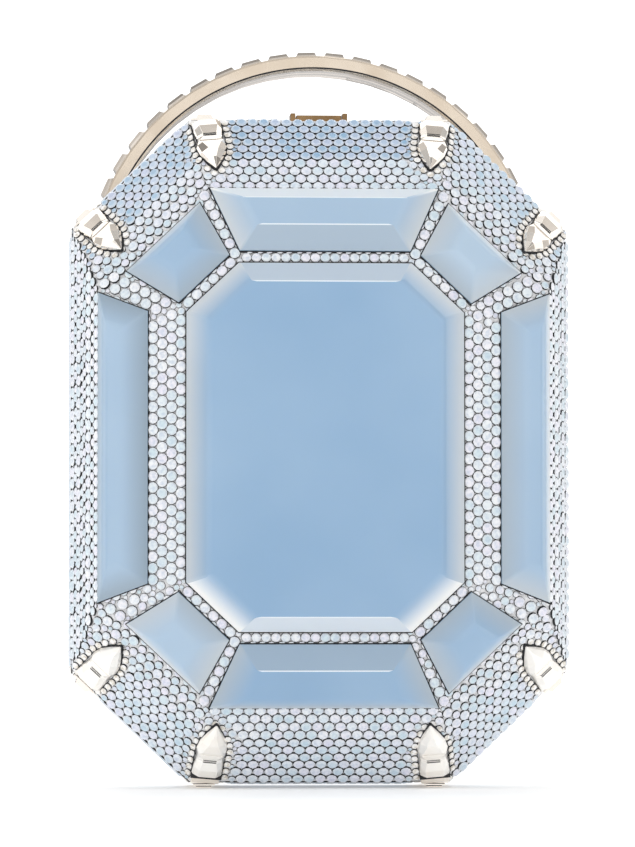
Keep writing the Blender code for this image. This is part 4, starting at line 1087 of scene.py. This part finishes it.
handleShape = {
    "innerRadius": 54.4 * mm,
    "outerRadius": 57.3 * mm,
    "endWidth": 9.0 * mm,
    "topWidth": 16.0 * mm,
    "thicker": 1.0 * mm,  # how much the photographed band is thicker than the solid, towards its outside
    "thickerFrom": (4 * mm, 16 * mm),  # it starts above the eyes
    "unmoved": 1.2 * mm,  # the skin along the inner radius that stays in place
    "studHeight": 0.1 * mm,
    "lineStart": 0.5 * mm,  # the dark line's place, out from the inner edge
    "lineWidth": 0.42 * mm,
    "lineThickness": 0.1 * mm,
    "lineProud": 0.03 * mm,
    "lineSpan": (math.radians(4), math.radians(176)),
    "lineSteps": 120,
}
handlePivot = Vector(next(joint["pos_m"] for joint in frame["joints"] if joint["name"] == "handle_pivot"))


def addHandleLines():  # a painted dark reflection: a black line along each side of the band, beside its inner edge
    bm = bmesh.new()
    start, end = handleShape["lineSpan"]
    inner = handleShape["innerRadius"] + handleShape["lineStart"]
    outer = inner + handleShape["lineWidth"]
    wider = handleShape["topWidth"] - handleShape["endWidth"]
    for side in (-1, 1):
        rings = []
        for at in range(handleShape["lineSteps"] + 1):
            angle = start + (end - start) * at / handleShape["lineSteps"]
            width = handleShape["endWidth"] + wider * math.sin(angle)
            surface = side * (width / 2 + handleShape["lineProud"])
            sunk = surface - side * handleShape["lineThickness"]
            places = [(inner, surface), (outer, surface), (outer, sunk), (inner, sunk)]
            rings.append([bm.verts.new(handlePivot + Vector((radius * math.cos(angle), away,
                                                             radius * math.sin(angle))))
                          for radius, away in places])
        joinRings(bm, rings)
    bmesh.ops.recalc_face_normals(bm, faces=bm.faces)
    addExtra("handle_lines", bm, "handle", "bronze_metal", "blackenedSeat")


def finishHandle():
    bm = mergedCopy("handle_band")
    start, full = handleShape["thickerFrom"]
    for vertex in bm.verts:
        out = Vector((vertex.co.x, 0, vertex.co.z - handlePivot.z))
        if out.length > handleShape["innerRadius"] + handleShape["unmoved"]:
            share = max(0.0, min(1.0, (out.z - start) / (full - start)))
            vertex.co += out.normalized() * handleShape["thicker"] * share
    studFrom = handleShape["outerRadius"] + handleShape["thicker"] + handleShape["studHeight"]
    for face in bm.faces:
        middle = face.calc_center_median()
        out = Vector((middle.x, 0, middle.z - handlePivot.z))
        facing = face.normal.dot(out.normalized())
        if facing < -0.9:  # the arch's inner side, with painted reflection
            face.material_index = 1
        elif out.length > studFrom and facing < 0.85:  # the studs' slopes, in painted shade
            face.material_index = 2
    standIn("handle_band", bevelled("handleFinished", bm, softEdges["handle"], 2),
            "satinPlate", "streakedPlate", "duskPlate")


finishHandle()
addHandleLines()
for nodeName in ("front_frame", "back_frame", "clasp_bezel", "push_button"):
    softenedCopy(nodeName)
springMesh = frame["nodes"]["button_spring"].data.copy()
springMesh.materials.clear()
spring = standIn("button_spring", springMesh)
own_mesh(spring)  # the coil gets a mesh of its own, apart from the node's
print("metal finished")


studio = {
    "floorTones": [(0.3, "#F1F0EE"), (0.7, "#FBFAF9")],
    "floorGrain": 25 * mm,
    "floorGlow": 0.22,
    "floorSize": 6.0,
    "sky": [(0.0, "#D8D8D8"), (0.07, "#D8D8D8"), (0.12, "#7C7C7C"), (0.2, "#7C7C7C"), (0.27, "#FFFFFF"),
            (0.4, "#FFFFFF"), (0.45, "#9C9C9C"), (0.56, "#9C9C9C"), (0.63, "#F4F4F4"), (0.84, "#F4F4F4"),
            (0.95, "#9C9C9C")],  # along the Y axis, from behind the camera to behind the bag
    "skyStrength": 1.5,
    "lights": [("behind", (0.0, 1.1, 1.15), (1.4, 0.5), 2.5),
               ("frontLeft", (-0.9, -0.9, 0.6), (0.5, 0.9), 1.2)],  # place, size and power
    "cameraAzimuth": math.radians(-3.524),
    "cameraElevation": math.radians(-2.233),
    "cameraDistance": 1.2357,
    "cameraTarget": Vector((0, 0, 0.092)),
    "lens": 205.7,
    "shift": (-0.0008, 0.0027),
}


def makeFloor():
    # painted board, matt, which glows a little so that it stays as white as the lit wall behind the bag
    addGrained("studioFloor", studio["floorGrain"], studio["floorTones"], Roughness=0.6,
               Emission_Color=hexColour("#FFFFFF"), Emission_Strength=studio["floorGlow"])
    bm = bmesh.new()
    bmesh.ops.create_grid(bm, x_segments=4, y_segments=4, size=studio["floorSize"] / 2)
    mesh = meshOf("floor", bm)
    mesh.materials.append(finishes["studioFloor"])
    addObject("floor", mesh)


def makeSky():
    world = bpy.data.worlds.new("studioSky")
    world.use_nodes = True
    tree = world.node_tree
    background = tree.nodes["Background"]
    way = addNode(tree, "ShaderNodeTexCoord")
    parts = addNode(tree, "ShaderNodeSeparateXYZ", None, {"Vector": way.outputs["Generated"]})
    share = addNode(tree, "ShaderNodeMapRange", {"From Min": -1.0, "From Max": 1.0},
                    {"Value": parts.outputs["Y"]})
    sky = addNode(tree, "ShaderNodeValToRGB", None, {"Fac": share}, studio["sky"])
    seen = addNode(tree, "ShaderNodeLightPath")
    shown = addNode(tree, "ShaderNodeMix", {7: hexColour("#FFFFFF")},
                    {0: seen.outputs["Is Camera Ray"], 6: sky}, data_type="RGBA")
    tree.links.new(shown.outputs[2], background.inputs["Color"])
    background.inputs["Strength"].default_value = studio["skyStrength"]
    bpy.context.scene.world = world


def makeLight(name, place, size, power):
    light = bpy.data.lights.new(name, "AREA")
    light.shape = "RECTANGLE"
    light.size, light.size_y = size
    light.energy = power
    lamp = addObject(name, light)
    lamp.location = place
    aim = studio["cameraTarget"] - Vector(place)
    lamp.rotation_mode = "QUATERNION"
    lamp.rotation_quaternion = aim.to_track_quat("-Z", "Y")


def makeCamera():
    azimuth, elevation = studio["cameraAzimuth"], studio["cameraElevation"]
    back = Vector((math.sin(azimuth) * math.cos(elevation), -math.cos(azimuth) * math.cos(elevation),
                   math.sin(elevation)))
    camera = addObject("camera", bpy.data.cameras.new("camera"))
    camera.location = studio["cameraTarget"] + back * studio["cameraDistance"]
    camera.rotation_mode = "QUATERNION"
    camera.rotation_quaternion = (-back).to_track_quat("-Z", "Y")
    camera.data.lens = studio["lens"]
    camera.data.sensor_width = 36.0
    camera.data.shift_x, camera.data.shift_y = studio["shift"]
    camera.data.clip_start, camera.data.clip_end = 0.01, 50.0
    bpy.context.scene.camera = camera


makeFloor()
makeSky()
for light in studio["lights"]:
    makeLight(*light)
makeCamera()
bpy.context.scene.view_settings.view_transform = "Standard"
print("studio set")
